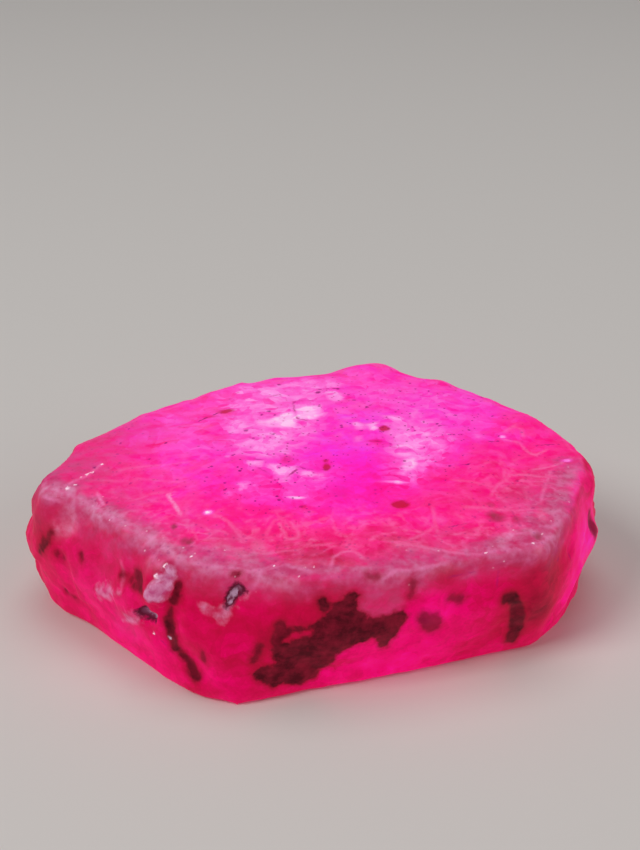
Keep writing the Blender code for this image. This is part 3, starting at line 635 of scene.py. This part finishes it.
# Lens-shaped marks in the top: centre, half its length along the stone, half its width, strength.
# Dashes are cracks that catch the light, rusts are red, and browns are brown stains.
DASHES = (
    ((-0.9, -5.3, 8.9), 0.62, 0.17, 1.0), ((-3.3, -1.85, 9.3), 0.45, 0.17, 0.6),
    ((-4.9, -1.1, 9.3), 0.25, 0.16, 0.6), ((-3.9, -4.2, 9.0), 0.20, 0.24, 0.7),
    ((4.8, -3.75, 9.0), 0.35, 0.18, 1.0), ((4.7, -3.75, 9.0), 0.95, 0.14, 0.7),
    ((6.75, 1.5, 9.4), 0.36, 0.18, 0.8), ((8.0, 1.4, 9.4), 0.25, 0.15, 0.6),
    ((11.2, 1.4, 9.3), 0.22, 0.20, 0.9), ((-4.9, 5.3, 9.5), 0.18, 0.30, 0.7),
    ((-5.7, -6.6, 8.7), 0.26, 0.20, 1.0), ((14.7, -0.8, 8.7), 0.30, 0.12, 0.8),
)
RUSTS = (
    ((-5.3, 4.6, 9.5), 0.55, 0.42, 0.9), ((-6.2, 3.9, 9.5), 0.50, 0.22, 0.5),
    ((4.25, 2.15, 9.5), 0.34, 0.34, 1.0), ((3.6, 0.7, 9.4), 0.60, 0.22, 0.45),
    ((0.8, -2.25, 9.2), 0.25, 0.42, 1.0), ((0.75, -1.55, 9.3), 0.20, 0.22, 0.7),
    ((-1.5, -1.4, 9.3), 0.42, 0.60, 0.45), ((4.85, -5.8, 8.7), 0.45, 0.40, 1.3),
    ((1.5, -4.8, 8.9), 0.8, 0.8, 0.25), ((-0.5, -6.2, 8.8), 0.25, 0.22, 0.6),
)
BROWNS = (
    ((10.0, -6.7, 8.4), 0.60, 0.45, 0.75), ((11.1, -7.0, 8.3), 0.25, 0.40, 0.6),
    ((9.8, -5.8, 8.7), 0.35, 0.25, 0.4), ((12.1, -8.4, 8.1), 0.32, 0.35, 0.6),
    ((-6.7, -8.8, 8.2), 0.38, 0.40, 0.8), ((-7.5, -7.6, 8.4), 0.18, 0.30, 0.8),
)
for name, marks in (("dash", DASHES), ("rust", RUSTS), ("brown", BROWNS)):
    paint(stone, name, streaks(marks))

# Tiny faces that flash white, painted as highlights, and specks of dark mica, each a centre and a radius.
PAINTED_SPARKLES = (
    ((-5.75, -6.6, 8.7), 0.16), ((-13.2, -2.5, 8.8), 0.12), ((-12.9, -2.2, 8.8), 0.16),
    ((-12.6, -2.0, 8.8), 0.14), ((-12.1, -1.4, 9.0), 0.12), ((-13.8, -3.6, 8.7), 0.20),
    ((-13.4, -3.3, 8.7), 0.12), ((-11.7, -4.3, 8.5), 0.11), ((-5.4, -10.8, 7.9), 0.13),
    ((-0.7, -11.9, 7.8), 0.13), ((11.8, -9.1, 8.1), 0.13), ((-7.8, -10.55, 7.65), 0.24),
    ((-8.3, -10.8, 7.15), 0.24), ((-15.4, -3.0, 7.9), 0.12), ((-9.5, -8.4, 8.0), 0.10),
    ((10.9, -7.9, 8.2), 0.11), ((-3.9, -12.1, 6.5), 0.15), ((-15.7, -3.1, 3.7), 0.12),
    ((-7.65, -10.9, 3.3), 0.13), ((13.9, -4.3, 8.5), 0.12), ((-0.4, -11.2, 7.9), 0.10),
    ((0.1, -11.2, 7.9), 0.10), ((-4.6, -9.6, 8.1), 0.12), ((-2.0, -11.0, 7.9), 0.09),
    ((-8.6, -10.3, 3.3), 0.14), ((-8.6, -10.0, 2.7), 0.10), ((14.0, -6.4, 5.4), 0.10),
    ((7.6, -10.1, 7.9), 0.08), ((9.2, -9.8, 7.9), 0.09), ((12.4, -8.2, 8.1), 0.11),
    ((-12.2, -5.0, 8.3), 0.09), ((-10.2, -7.2, 8.1), 0.09), ((-6.4, -10.2, 8.0), 0.09),
)
SPECKS = (
    ((-3.06, 3.94, 9.63), 0.16), ((-2.65, 4.40, 9.61), 0.18), ((-2.27, 3.93, 9.63), 0.16),
    ((-2.12, 8.17, 9.64), 0.18), ((-3.95, 2.08, 9.47), 0.18), ((-2.34, 1.56, 9.45), 0.15),
    ((0.32, 6.97, 9.69), 0.22), ((1.57, 7.23, 9.77), 0.15), ((2.53, 5.66, 9.74), 0.15),
    ((3.30, 4.86, 9.63), 0.16), ((2.86, 1.82, 9.49), 0.13), ((5.41, 7.01, 9.71), 0.14),
    ((7.21, 7.11, 9.65), 0.13), ((9.63, 6.26, 9.55), 0.12), ((10.49, 6.87, 9.34), 0.14),
    ((10.87, 3.86, 9.45), 0.14), ((8.09, 1.36, 9.41), 0.14), ((8.81, 1.44, 9.37), 0.13),
    ((10.99, 1.46, 9.28), 0.12), ((8.89, -1.81, 9.11), 0.15), ((7.86, -1.88, 9.02), 0.15),
    ((7.46, -3.45, 8.94), 0.12), ((6.45, -6.02, 8.81), 0.14), ((11.56, -3.16, 8.76), 0.15),
    ((-9.46, -0.83, 9.04), 0.13), ((-10.29, -3.03, 8.64), 0.12), ((-11.26, 0.95, 9.21), 0.13),
    ((-9.51, 3.80, 9.34), 0.12), ((-8.59, 0.72, 9.31), 0.13), ((-10.97, 2.71, 9.27), 0.12),
    ((-11.44, -4.89, 8.43), 0.14), ((1.43, -8.14, 8.46), 0.13), ((-0.63, -6.18, 8.81), 0.14),
    ((7.57, 2.42, 9.49), 0.13), ((14.81, -4.31, 8.34), 0.14), ((13.5, -7.83, 6.27), 0.2),
    ((-12.5, -1.6, 8.9), 0.14), ((-13.6, -2.6, 8.8), 0.12), ((5.65, 2.00, 9.45), 0.10),
    ((-1.94, -3.82, 9.00), 0.12),
)
for name, marks in (("sparkle", PAINTED_SPARKLES), ("speck", SPECKS)):
    value = np.zeros(len(places))
    for centre, radius in marks:
        value = np.maximum(value, bell(places, centre, radius))
    paint(stone, name, value)

# Grey glints in the pits, each half a width and a line. Glints, lump, crusts and pits are painted as
# how far inside its outline a place lies. The lump has a bare hollow, and the crusts spread wider in
# two places.
GLINTS = (
    (0.09, ((-9.0, -9.45, 4.15), (-8.6, -9.8, 4.25), (-8.25, -10.05, 4.2))),
    (0.07, ((-8.75, -9.6, 4.45), (-8.45, -9.9, 4.5))),
    (0.12, ((-4.30, -11.65, 6.15), (-4.18, -11.5, 6.45), (-4.00, -11.5, 6.72))),
    (0.02, ((-7.75, -10.8, 3.45), (-7.65, -10.9, 3.3))),
)
glint = np.full(len(places), FAR)
for half_width, line in GLINTS:
    glint = np.minimum(glint, nearest_run(places, line)[0] - half_width)
bare_hollow = bell(places, (-8.3, -11.05, 5.4), 0.75)
front_spread = bell(places, (-4.5, -11.8, 5.8), 0.32)
left_spread = bell(places, (-11.5, -7.6, 4.3), 0.9)
paint(stone, "glint", -glint)
paint(stone, "lump", -lump - 0.34 * bare_hollow)
paint(stone, "crust", -crust + 0.30 * front_spread + 0.30 * left_spread)
paint(stone, "pit", -np.minimum(glint_pit, crescent))

# Where the top is crossed by fine healed cracks, where it is milky, and where it is peppered with
# specks.
crazing = np.exp(-((back + 8.4) / 2.0) ** 2) + bell(places, (11.8, -3.5, 8.8), 3.4)
crazing += 0.6 * bell(places, (-10.0, -5.0, 8.6), 3.5) + 0.4 * smooth_step(back, 6.0, 12.0)
crazing = np.clip(crazing, 0.0, 1.0) * np.maximum(upward, 0.5 * behind) * (1.0 - downward)
milk = 0.36 + 0.66 * bell(places, (1.0, 7.0, 9.6), 8.0) + 0.35 * bell(places, (-6.0, 1.0, 9.3), 5.0)
milk = milk - 0.5 * bell(places, (2.0, -3.0, 9.1), 4.0) - 0.3 * bell(places, (-3.0, -5.0, 8.9), 3.4)
peppered = 0.35 + bell(places, (-2.5, -3.0, 9.0), 4.0) + 0.6 * bell(places, (5.0, 3.0, 9.5), 7.0)
paint(stone, "crazing", crazing)
paint(stone, "milk", upward * np.clip(milk, 0.0, 1.0))
paint(stone, "peppered", upward * np.clip(peppered, 0.0, 1.0))


def linear(hex_colour):
    """An sRGB hex colour as the linear colour that a shader takes."""
    parts = [int(hex_colour[i:i + 2], 16) / 255.0 for i in (1, 3, 5)]
    return tuple(c / 12.92 if c <= 0.04045 else ((c + 0.055) / 1.055) ** 2.4 for c in parts) + (1.0,)


def fill_ramp(ramp, stops):
    """Give a colour ramp its stops, each a place from 0 to 1 and a hex colour."""
    while len(ramp.elements) < len(stops):
        ramp.elements.new(0.5)
    for element, (place, shade) in zip(ramp.elements, stops):
        element.position = place
        element.color = linear(shade)


# Raw ruby: corundum coloured by chromium, cloudy with healed cracks. Broken faces are glassy, with
# deep colour under them; bruised edges are frosted, pale and dull.
ruby = bpy.data.materials.new("raw_ruby_broken")
ruby.use_nodes = True
tree = ruby.node_tree
tree.nodes.clear()


def add_node(kind, inputs=None, output=0, **settings):
    """Add one node with its settings, its values and its links, and give one of its outputs."""
    made = tree.nodes.new("ShaderNode" + kind)
    for name, value in settings.items():
        setattr(made, name, value)
    for key, value in (inputs or {}).items():
        if isinstance(value, bpy.types.NodeSocket):
            tree.links.new(value, made.inputs[key])
        else:
            made.inputs[key].default_value = value
    return made.outputs[output]


# A Mix node set to colours takes its share at input 0, the colour below at 6 and the one above at 7,
# and gives its result at output 2. FALLING turns a range over, so that it runs from 1 down to 0.
SHARE, BELOW, ABOVE = 0, 6, 7
AS_COLOUR = {"output": 2, "data_type": "RGBA"}
FALLING = {"To Min": 1.0, "To Max": 0.0}

# Every number painted on the stone, by its name.
painted = {}
for layer in stone.data.attributes:
    if layer.data_type == "FLOAT":
        painted[layer.name] = add_node("Attribute", output="Fac", attribute_name=layer.name)
coordinates = add_node("TexCoord", output="Object")
in_mm = add_node("VectorMath", {0: coordinates, "Scale": 1.0 / MM}, operation="SCALE")
lengthwise = add_node("Mapping", {
    "Vector": in_mm, "Scale": (0.75, 1.0, 1.0), "Rotation": (0.0, 0.0, 0.12),
})

# Noise that several layers share, by the size of its lumps. Real sugar and silk are finer than this,
# and are drawn as coarse as they need to be to show. The stir bends straight patterns.
CLOUD_SIZE = 1.5
WISP_SIZE = 0.8
CURD_SIZE = 0.5
SUGAR_SIZE = 0.30
SILK_SIZE = 0.17
STIR_SIZE = 2.0
STIR_REACH = 1.6
clouds = add_node("TexNoise", {
    "Vector": lengthwise, "Scale": 1.0 / CLOUD_SIZE, "Detail": 4.0, "Distortion": 0.2,
})
wisps = add_node("TexNoise", {
    "Vector": lengthwise, "Scale": 1.0 / WISP_SIZE, "Detail": 5.0, "Roughness": 0.55,
})
curdle = add_node("TexNoise", {"Vector": in_mm, "Scale": 1.0 / CURD_SIZE, "Detail": 4.0})
sugar = add_node("TexNoise", {"Vector": in_mm, "Scale": 1.0 / SUGAR_SIZE, "Detail": 5.0, "Roughness": 0.6})
silk = add_node("TexNoise", {"Vector": in_mm, "Scale": 1.0 / SILK_SIZE, "Detail": 2.0})
stir = add_node("TexNoise", {"Vector": in_mm, "Scale": 1.0 / STIR_SIZE, "Detail": 2.0}, output="Color")
stir = add_node("VectorMath", {0: stir, 1: (0.5, 0.5, 0.5)}, operation="SUBTRACT")
stirred = add_node("VectorMath", {0: stir, 1: (STIR_REACH,) * 3, 2: lengthwise}, operation="MULTIPLY_ADD")

# The break runs along many small planes, so the milk inside has angular patches.
planes = []
for size in (1.3, 0.5):
    plane = add_node("TexVoronoi", {"Vector": stirred, "Scale": 1.0 / size}, output="Color")
    plane = add_node("SeparateColor", {"Color": plane})
    planes.append(add_node("Math", {0: plane, 1: 0.5}, operation="SUBTRACT"))
wide_planes, small_planes = planes

# The body colour follows the painted glow, stirred by every noise, each with its weight.
BODY_GLOW_STOPS = (
    (0.00, "#5A0618"), (0.18, "#A00A30"), (0.32, "#BE083C"), (0.44, "#D40450"), (0.56, "#EE006C"),
    (0.66, "#FA0A80"), (0.76, "#FB1494"), (0.86, "#FC1EB4"), (0.94, "#FA22CA"), (1.00, "#F028DC"),
)
NOISE_MEAN = 0.27               # what the three noises add on average
glow_level = painted["glow"]
for source, weight in ((clouds, 0.30), (curdle, 0.14), (silk, 0.10)):
    glow_level = add_node("Math", {0: source, 1: weight, 2: glow_level}, operation="MULTIPLY_ADD")
glow_level = add_node("Math", {0: glow_level, 1: NOISE_MEAN}, operation="SUBTRACT")
for source, weight in ((wide_planes, 0.07), (small_planes, 0.06)):
    glow_level = add_node("Math", {0: source, 1: weight, 2: glow_level}, operation="MULTIPLY_ADD")
colour = add_node("ValToRGB", {"Fac": glow_level}, output="Color")
fill_ramp(colour.node.color_ramp, BODY_GLOW_STOPS)

# The layers laid on the body colour, from the deepest to the last: how far each covers, and its
# colour. The first two are milk, soft lilac clouds in the top, and haze, a thin dull skin.
milk_share = add_node("MapRange", {
    "Value": wisps, "From Min": 0.34, "From Max": 0.68, "To Min": 0.02, "To Max": 0.36,
})
milk_share = add_node("Math", {0: small_planes, 1: 0.16, 2: milk_share}, operation="MULTIPLY_ADD")
milk_share = add_node("Math", {0: milk_share, 1: painted["milk"]}, operation="MULTIPLY", use_clamp=True)
haze_share = add_node("MapRange", {
    "Value": wisps, "From Min": 0.32, "From Max": 0.68, "To Min": 0.2, "To Max": 0.62,
})
haze_share = add_node("Math", {0: haze_share, 1: painted["haze"]}, operation="MULTIPLY")
layers = [(milk_share, linear("#FF8CDC")), (haze_share, linear("#B84C7C"))]

# Frost: bruised, sugary crystal along the shoulder, marbled with rose and ragged at its edges, with
# whiter crests.
frost_edge = painted["frost"]
for source, weight in ((wisps, 2.6), (small_planes, 0.3)):
    frost_edge = add_node("Math", {0: source, 1: weight, 2: frost_edge}, operation="MULTIPLY_ADD")
frost_edge = add_node("MapRange", {
    "Value": frost_edge, "From Min": 0.55, "From Max": 2.1,
}, interpolation_type="SMOOTHSTEP")
frost_grain = add_node("MapRange", {
    "Value": curdle, "From Min": 0.34, "From Max": 0.64, "To Min": 0.6, "To Max": 0.9,
})
frost_share = add_node("Math", {0: frost_edge, 1: frost_grain}, operation="MULTIPLY")
frost_shade = add_node("MapRange", {"Value": curdle, "From Min": 0.36, "From Max": 0.66})
frost_shade = add_node("Mix", {
    SHARE: frost_shade, BELOW: linear("#B22A5C"), ABOVE: linear("#C24E7E"),
}, **AS_COLOUR)
crest_share = add_node("MapRange", {"Value": curdle, "From Min": 0.32, "From Max": 0.66, "To Min": 0.25})
for factor in (painted["crest"], 0.68):
    crest_share = add_node("Math", {0: crest_share, 1: factor}, operation="MULTIPLY")
layers += [(frost_share, frost_shade), (crest_share, linear("#D692B6"))]

# Healed cracks: soft pale veins that meet in cells, wide apart and, in patches, close together. With them
# come the seams and the painted rim highlights, which fade in and out along their length.
veins = []
for size, width in ((1.5, 0.16), (0.75, 0.20)):
    edge = add_node("TexVoronoi", {"Vector": stirred, "Scale": 1.0 / size}, feature="DISTANCE_TO_EDGE")
    veins.append(add_node("MapRange", {
        "Value": edge, "From Max": width, **FALLING,
    }, interpolation_type="SMOOTHSTEP"))
wide_veins, close_veins = veins
patches = add_node("MapRange", {"Value": clouds, "From Min": 0.45, "From Max": 0.62})
breaks = add_node("MapRange", {"Value": curdle, "From Min": 0.40, "From Max": 0.64})
cracks = add_node("Math", {0: close_veins, 1: patches}, operation="MULTIPLY")
cracks = add_node("Math", {0: wide_veins, 1: cracks}, operation="MAXIMUM")
for factor in (breaks, painted["crazing"], 0.7):
    cracks = add_node("Math", {0: cracks, 1: factor}, operation="MULTIPLY")
wobble = add_node("Math", {0: silk, 1: 0.5}, operation="SUBTRACT")
traced = {}
for name, half_width in (("seam", 0.23), ("split", 0.12)):
    side = add_node("Math", {0: wobble, 1: 0.16, 2: painted[name + "_side"]}, operation="MULTIPLY_ADD")
    side = add_node("Math", {0: side}, operation="ABSOLUTE")
    side = add_node("MapRange", {
        "Value": side, "From Max": half_width, **FALLING,
    }, interpolation_type="SMOOTHSTEP")
    traced[name] = add_node("Math", {0: side, 1: painted[name]}, operation="MULTIPLY")
faded = add_node("MapRange", {"Value": sugar, "From Min": 0.36, "From Max": 0.62, "To Min": 0.5})
seams_and_rims = add_node("Math", {0: traced["seam"], 1: faded}, operation="MULTIPLY")
cracks = add_node("Math", {0: cracks, 1: seams_and_rims}, operation="MAXIMUM")
crack_and_rim_share = add_node("Math", {0: cracks, 1: 0.42}, operation="MULTIPLY")
layers.append((crack_and_rim_share, linear("#F28CC4")))

# Veils: pale lilac films inside the top, broken into angular patches, whitest in the middle.
FILM_STOPS = ((0.0, "#FC3CBC"), (0.30, "#FC54C8"), (0.50, "#FC70D2"), (0.75, "#FD98E4"), (1.0, "#FDC8F0"))
film_edge = -0.55
for source, weight in ((curdle, 0.5), (clouds, 0.6), (small_planes, 0.36), (wide_planes, 0.22)):
    film_edge = add_node("Math", {0: source, 1: weight, 2: film_edge}, operation="MULTIPLY_ADD")
film_mask = add_node("MapRange", {"Value": painted["veil"], "From Max": 0.35})
film_edge = add_node("Math", {0: film_edge, 1: film_mask, 2: painted["veil"]}, operation="MULTIPLY_ADD")
films = add_node("MapRange", {"Value": film_edge, "From Max": 1.1})
films = add_node("Math", {0: films, 1: painted["dash"]}, operation="MAXIMUM")
film_shade = add_node("ValToRGB", {"Fac": films}, output="Color")
fill_ramp(film_shade.node.color_ramp, FILM_STOPS)
film_share = add_node("MapRange", {"Value": films, "From Max": 0.45, "To Max": 0.92})
layers.append((film_share, film_shade))

# Rust, brown stains, thin dark splits, and specks of mica.
for name, shade, most in (("rust", "#C0102C", 0.85), ("brown", "#963048", 0.8)):
    share = add_node("Math", {0: curdle, 1: painted[name]}, operation="MULTIPLY")
    share = add_node("MapRange", {"Value": share, "From Min": 0.08, "From Max": 0.34, "To Max": most})
    layers.append((share, linear(shade)))
split_share = add_node("Math", {0: traced["split"], 1: breaks}, operation="MULTIPLY")
dots = []
for size, radius, kept in ((0.80, 0.17, 0.9), (0.34, 0.27, 0.85)):
    grit = add_node("TexVoronoi", {"Vector": in_mm, "Scale": 1.0 / size})
    chosen = add_node("SeparateColor", {"Color": grit.node.outputs["Color"]})
    chosen = add_node("Math", {0: chosen, 1: kept}, operation="LESS_THAN")
    grit = add_node("MapRange", {
        "Value": grit, "From Min": 0.5 * radius, "From Max": radius, **FALLING,
    })
    dots.append(add_node("Math", {0: grit, 1: chosen}, operation="MULTIPLY"))
fine_dots = add_node("Math", {0: dots[1], 1: 0.85}, operation="MULTIPLY")
specks = add_node("Math", {0: dots[0], 1: fine_dots}, operation="MAXIMUM")
pockets = add_node("MapRange", {"Value": wisps, "From Min": 0.42, "From Max": 0.56, "To Min": 0.15})
for factor in (pockets, painted["peppered"], 0.85):
    specks = add_node("Math", {0: specks, 1: factor}, operation="MULTIPLY")
larger_specks = add_node("MapRange", {
    "Value": painted["speck"], "From Min": 0.3, "From Max": 0.8, "To Max": 0.85,
})
specks = add_node("Math", {0: specks, 1: larger_specks}, operation="MAXIMUM")
layers += [(split_share, linear("#A01060")), (specks, linear("#8C0664"))]

# Crusts and the small crystal grown on the corner are pale and dull, with a darker red ring painted round
# the crystal as shade in its crevice.
lump_shade = add_node("MapRange", {"Value": curdle, "From Min": 0.34, "From Max": 0.64})
lump_shade = add_node("Mix", {
    SHARE: lump_shade, BELOW: linear("#B45080"), ABOVE: linear("#D08CB2"),
}, **AS_COLOUR)
crevice_shade_share = add_node("MapRange", {
    "Value": painted["lump"], "From Min": -0.26, "From Max": -0.06, "To Max": 0.55,
})
layers.append((crevice_shade_share, linear("#A80E40")))
clotted = add_node("Math", {0: curdle, 1: 0.5}, operation="SUBTRACT")
CRUST_EDGES = (("crust", 1.2, -0.16, 0.42, 0.62), ("lump", 0.6, -0.12, 0.16, 0.88))
for name, spread, low_edge, high_edge, most in CRUST_EDGES:
    share = add_node("Math", {0: clotted, 1: spread, 2: painted[name]}, operation="MULTIPLY_ADD")
    share = add_node("MapRange", {
        "Value": share, "From Min": low_edge, "From Max": high_edge, "To Max": most,
    })
    layers.append((share, lump_shade))

# Mica: dark plates just under the skin, with ragged edges that feather out to crimson. The halo and
# the core each have where they end outside and begin inside, how much they cover, how much of that
# is seen when they lie deep, and a colour.
TOOTH_SIZE = 0.65               # size of the teeth along the edges
mica_edge = add_node("TexNoise", {
    "Vector": in_mm, "Scale": 1.0 / TOOTH_SIZE, "Detail": 5.0, "Roughness": 0.55,
})
mica_edge = add_node("Math", {0: mica_edge, 1: 0.5}, operation="SUBTRACT")
mica_edge = add_node("Math", {
    0: mica_edge, 1: painted["ragged"], 2: painted["mica"],
}, operation="MULTIPLY_ADD")
mica_shade = add_node("Math", {0: sugar, 1: 0.5, 2: wisps}, operation="MULTIPLY_ADD")
mica_shade = add_node("MapRange", {"Value": mica_shade, "From Min": 0.58, "From Max": 0.92})
mica_shade = add_node("Mix", {
    SHARE: mica_shade, BELOW: linear("#440A14"), ABOVE: linear("#7A1428"),
}, **AS_COLOUR)
HALO = (0.42, -0.05, 0.75, 0.55, linear("#A0102C"))
CORE = (0.14, -0.10, 0.98, 0.15, mica_shade)
for outer, inner, most, when_deep, shade in (HALO, CORE):
    share = add_node("MapRange", {
        "Value": mica_edge, "From Min": inner, "From Max": outer, "To Min": most, "To Max": 0.0,
    }, interpolation_type="SMOOTHSTEP")
    seen = add_node("MapRange", {"Value": painted["sunk"], "To Min": 1.0, "To Max": when_deep})
    share = add_node("Math", {0: share, 1: seen}, operation="MULTIPLY")
    layers.append((share, shade))

# Pits: walls painted dark as shade in the hollow, with painted grey glints where a face inside catches the
# light.
ragged_edge = add_node("Math", {0: sugar, 1: 0.5}, operation="SUBTRACT")
pit_shadow_share = add_node("Math", {0: ragged_edge, 1: 0.4, 2: painted["pit"]}, operation="MULTIPLY_ADD")
pit_shadow_share = add_node("MapRange", {
    "Value": pit_shadow_share, "From Min": -0.18, "From Max": -0.02, "To Max": 0.95,
})
pit_shade = add_node("MapRange", {"Value": painted["pit"], "From Min": 0.04, "From Max": 0.26})
pit_shade = add_node("Math", {0: pit_shade, 1: sugar}, operation="MULTIPLY")
pit_shade = add_node("Math", {0: pit_shade, 1: 1.5}, operation="MULTIPLY", use_clamp=True)
pit_shade = add_node("Mix", {
    SHARE: pit_shade, BELOW: linear("#4E1428"), ABOVE: linear("#96607E"),
}, **AS_COLOUR)
glint_share = add_node("Math", {0: ragged_edge, 1: 0.5, 2: painted["glint"]}, operation="MULTIPLY_ADD")
glint_share = add_node("MapRange", {
    "Value": glint_share, "From Min": -0.10, "From Max": 0.06, "To Max": 0.9,
})
layers += [(pit_shadow_share, pit_shade), (glint_share, linear("#B890AC"))]

# Flashes, painted as highlights: the sparkles, and sequins of crushed crystal in the frost.
SEQUIN_GAP = 0.5                # how far apart they are, and the share of them that shows
SEQUINS_KEPT = 0.22
painted_flash = add_node("Math", {0: silk, 1: painted["sparkle"]}, operation="MULTIPLY")
painted_flash = add_node("MapRange", {"Value": painted_flash, "From Min": 0.18, "From Max": 0.40, "To Max": 0.9})
sequin_glints = add_node("TexVoronoi", {"Vector": in_mm, "Scale": 1.0 / SEQUIN_GAP})
chosen = add_node("SeparateColor", {"Color": sequin_glints.node.outputs["Color"]}, output=1)
chosen = add_node("Math", {0: chosen, 1: SEQUINS_KEPT}, operation="LESS_THAN")
sequin_glints = add_node("MapRange", {
    "Value": sequin_glints, "From Min": 0.05, "From Max": 0.17, "To Min": 0.6, "To Max": 0.0,
})
for factor in (chosen, frost_share):
    sequin_glints = add_node("Math", {0: sequin_glints, 1: factor}, operation="MULTIPLY")
painted_flash = add_node("Math", {0: painted_flash, 1: sequin_glints}, operation="MAXIMUM")
layers.append((painted_flash, linear("#FFDCEE")))

for share, shade in layers:
    colour = add_node("Mix", {SHARE: share, BELOW: colour, ABOVE: shade}, **AS_COLOUR)

# Relief too fine for the mesh: curds all over, and sugar where the stone is bruised.
RELIEF_DEPTH = 0.05
RELIEF_STRENGTH = 0.7
bruise = add_node("MapRange", {
    "Value": painted["frost"], "From Min": -0.6, "From Max": 0.6, "To Max": 1.2,
})
relief = add_node("Math", {0: curdle, 1: 0.25}, operation="MULTIPLY")
relief = add_node("Math", {0: sugar, 1: bruise, 2: relief}, operation="MULTIPLY_ADD")
skin_normal = add_node("Bump", {
    "Height": relief, "Distance": RELIEF_DEPTH * MM, "Strength": RELIEF_STRENGTH,
})

# Part of the colour is given out as a painted glow, standing in for light that shines through the stone, so
# the skin itself is darkened. The frost is duller than the glassy breaks.
SKIN_DARKENED = 0.50
PAINTED_GLOW_STRENGTH = 0.64
CORUNDUM_IOR = 1.77
SCATTER_DEPTH = 0.6
roughness = add_node("MapRange", {
    "Value": frost_share, "From Max": 0.6, "To Min": 0.52, "To Max": 0.75,
})
skin = add_node("Mix", {SHARE: SKIN_DARKENED, BELOW: colour, ABOVE: linear("#000000")}, **AS_COLOUR)
surface = add_node("BsdfPrincipled", {
    "Base Color": skin,
    "Roughness": roughness,
    "IOR": CORUNDUM_IOR,
    "Specular IOR Level": 0.06,
    "Specular Tint": linear("#FF98C8"),
    "Emission Color": colour,
    "Emission Strength": PAINTED_GLOW_STRENGTH,
    "Normal": skin_normal,
    "Subsurface Weight": 0.3,
    "Subsurface Scale": SCATTER_DEPTH * MM,
    "Subsurface Radius": (1.0, 0.2, 0.5),
})
output = tree.nodes.new("ShaderNodeOutputMaterial")
tree.links.new(surface, output.inputs["Surface"])
stone.data.materials.clear()
stone.data.materials.append(ruby)

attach(stone, "root")
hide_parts("ruby_crystal")


# --- The stage -----------------------------------------------------------------------------------
# A plain pale table, three soft studio lamps, and the camera, close to the stone and a little above.

FLOOR_SIZE = 4.0                # metres, as are the lamps' places and sizes below
bpy.ops.object.select_all(action="DESELECT")
bpy.ops.mesh.primitive_plane_add(size=FLOOR_SIZE)
floor = bpy.context.object
floor.name = "floor"
paper = bpy.data.materials.new("studio_paper")
paper.use_nodes = True
sheet = paper.node_tree.nodes["Principled BSDF"]
sheet.inputs["Base Color"].default_value = linear("#D8D4D0")
sheet.inputs["Roughness"].default_value = 0.9
sheet.inputs["Specular IOR Level"].default_value = 0.1
floor.data.materials.append(paper)

# Each lamp is a place, a size across, and a power in watts.
LAMPS = (
    ("key", (-0.28, -0.22, 0.36), 0.22, 1.05),
    ("fill", (0.34, -0.20, 0.22), 0.26, 0.35),
    ("top", (0.00, 0.05, 0.45), 0.30, 0.45),
)
for name, place, size, power in LAMPS:
    lamp_data = bpy.data.lights.new(name, "AREA")
    lamp_data.shape = "DISK"
    lamp_data.size = size
    lamp_data.energy = power
    lamp = bpy.data.objects.new(name, lamp_data)
    lamp.location = place
    lamp.rotation_euler = Vector(place).to_track_quat("Z", "Y").to_euler()
    bpy.context.collection.objects.link(lamp)

ROOM_LIGHT = 0.26
world = bpy.data.worlds.new("room")
world.use_nodes = True
room = world.node_tree.nodes["Background"]
room.inputs["Color"].default_value = linear("#DAD8DA")
room.inputs["Strength"].default_value = ROOM_LIGHT
bpy.context.scene.world = world
bpy.context.scene.view_settings.view_transform = "Standard"

CAMERA_PLACE = (0.44, -83.34, 50.77)    # millimetres
CAMERA_DOWN = 25.64                     # degrees below level
CAMERA_ROLL = -0.31                     # degrees
LENS = 67.76                            # millimetres, on a sensor 36 wide
camera_data = bpy.data.cameras.new("camera")
camera_data.lens = LENS
camera_data.sensor_width = 36.0
camera_data.clip_start = 0.002
camera_data.clip_end = 20.0
camera = bpy.data.objects.new("camera", camera_data)
camera.matrix_world = (
    Matrix.Translation(Vector(CAMERA_PLACE) * MM)
    @ Matrix.Rotation(math.radians(90.0 - CAMERA_DOWN), 4, "X")
    @ Matrix.Rotation(math.radians(CAMERA_ROLL), 4, "Z")
)
bpy.context.collection.objects.link(camera)
bpy.context.scene.camera = camera
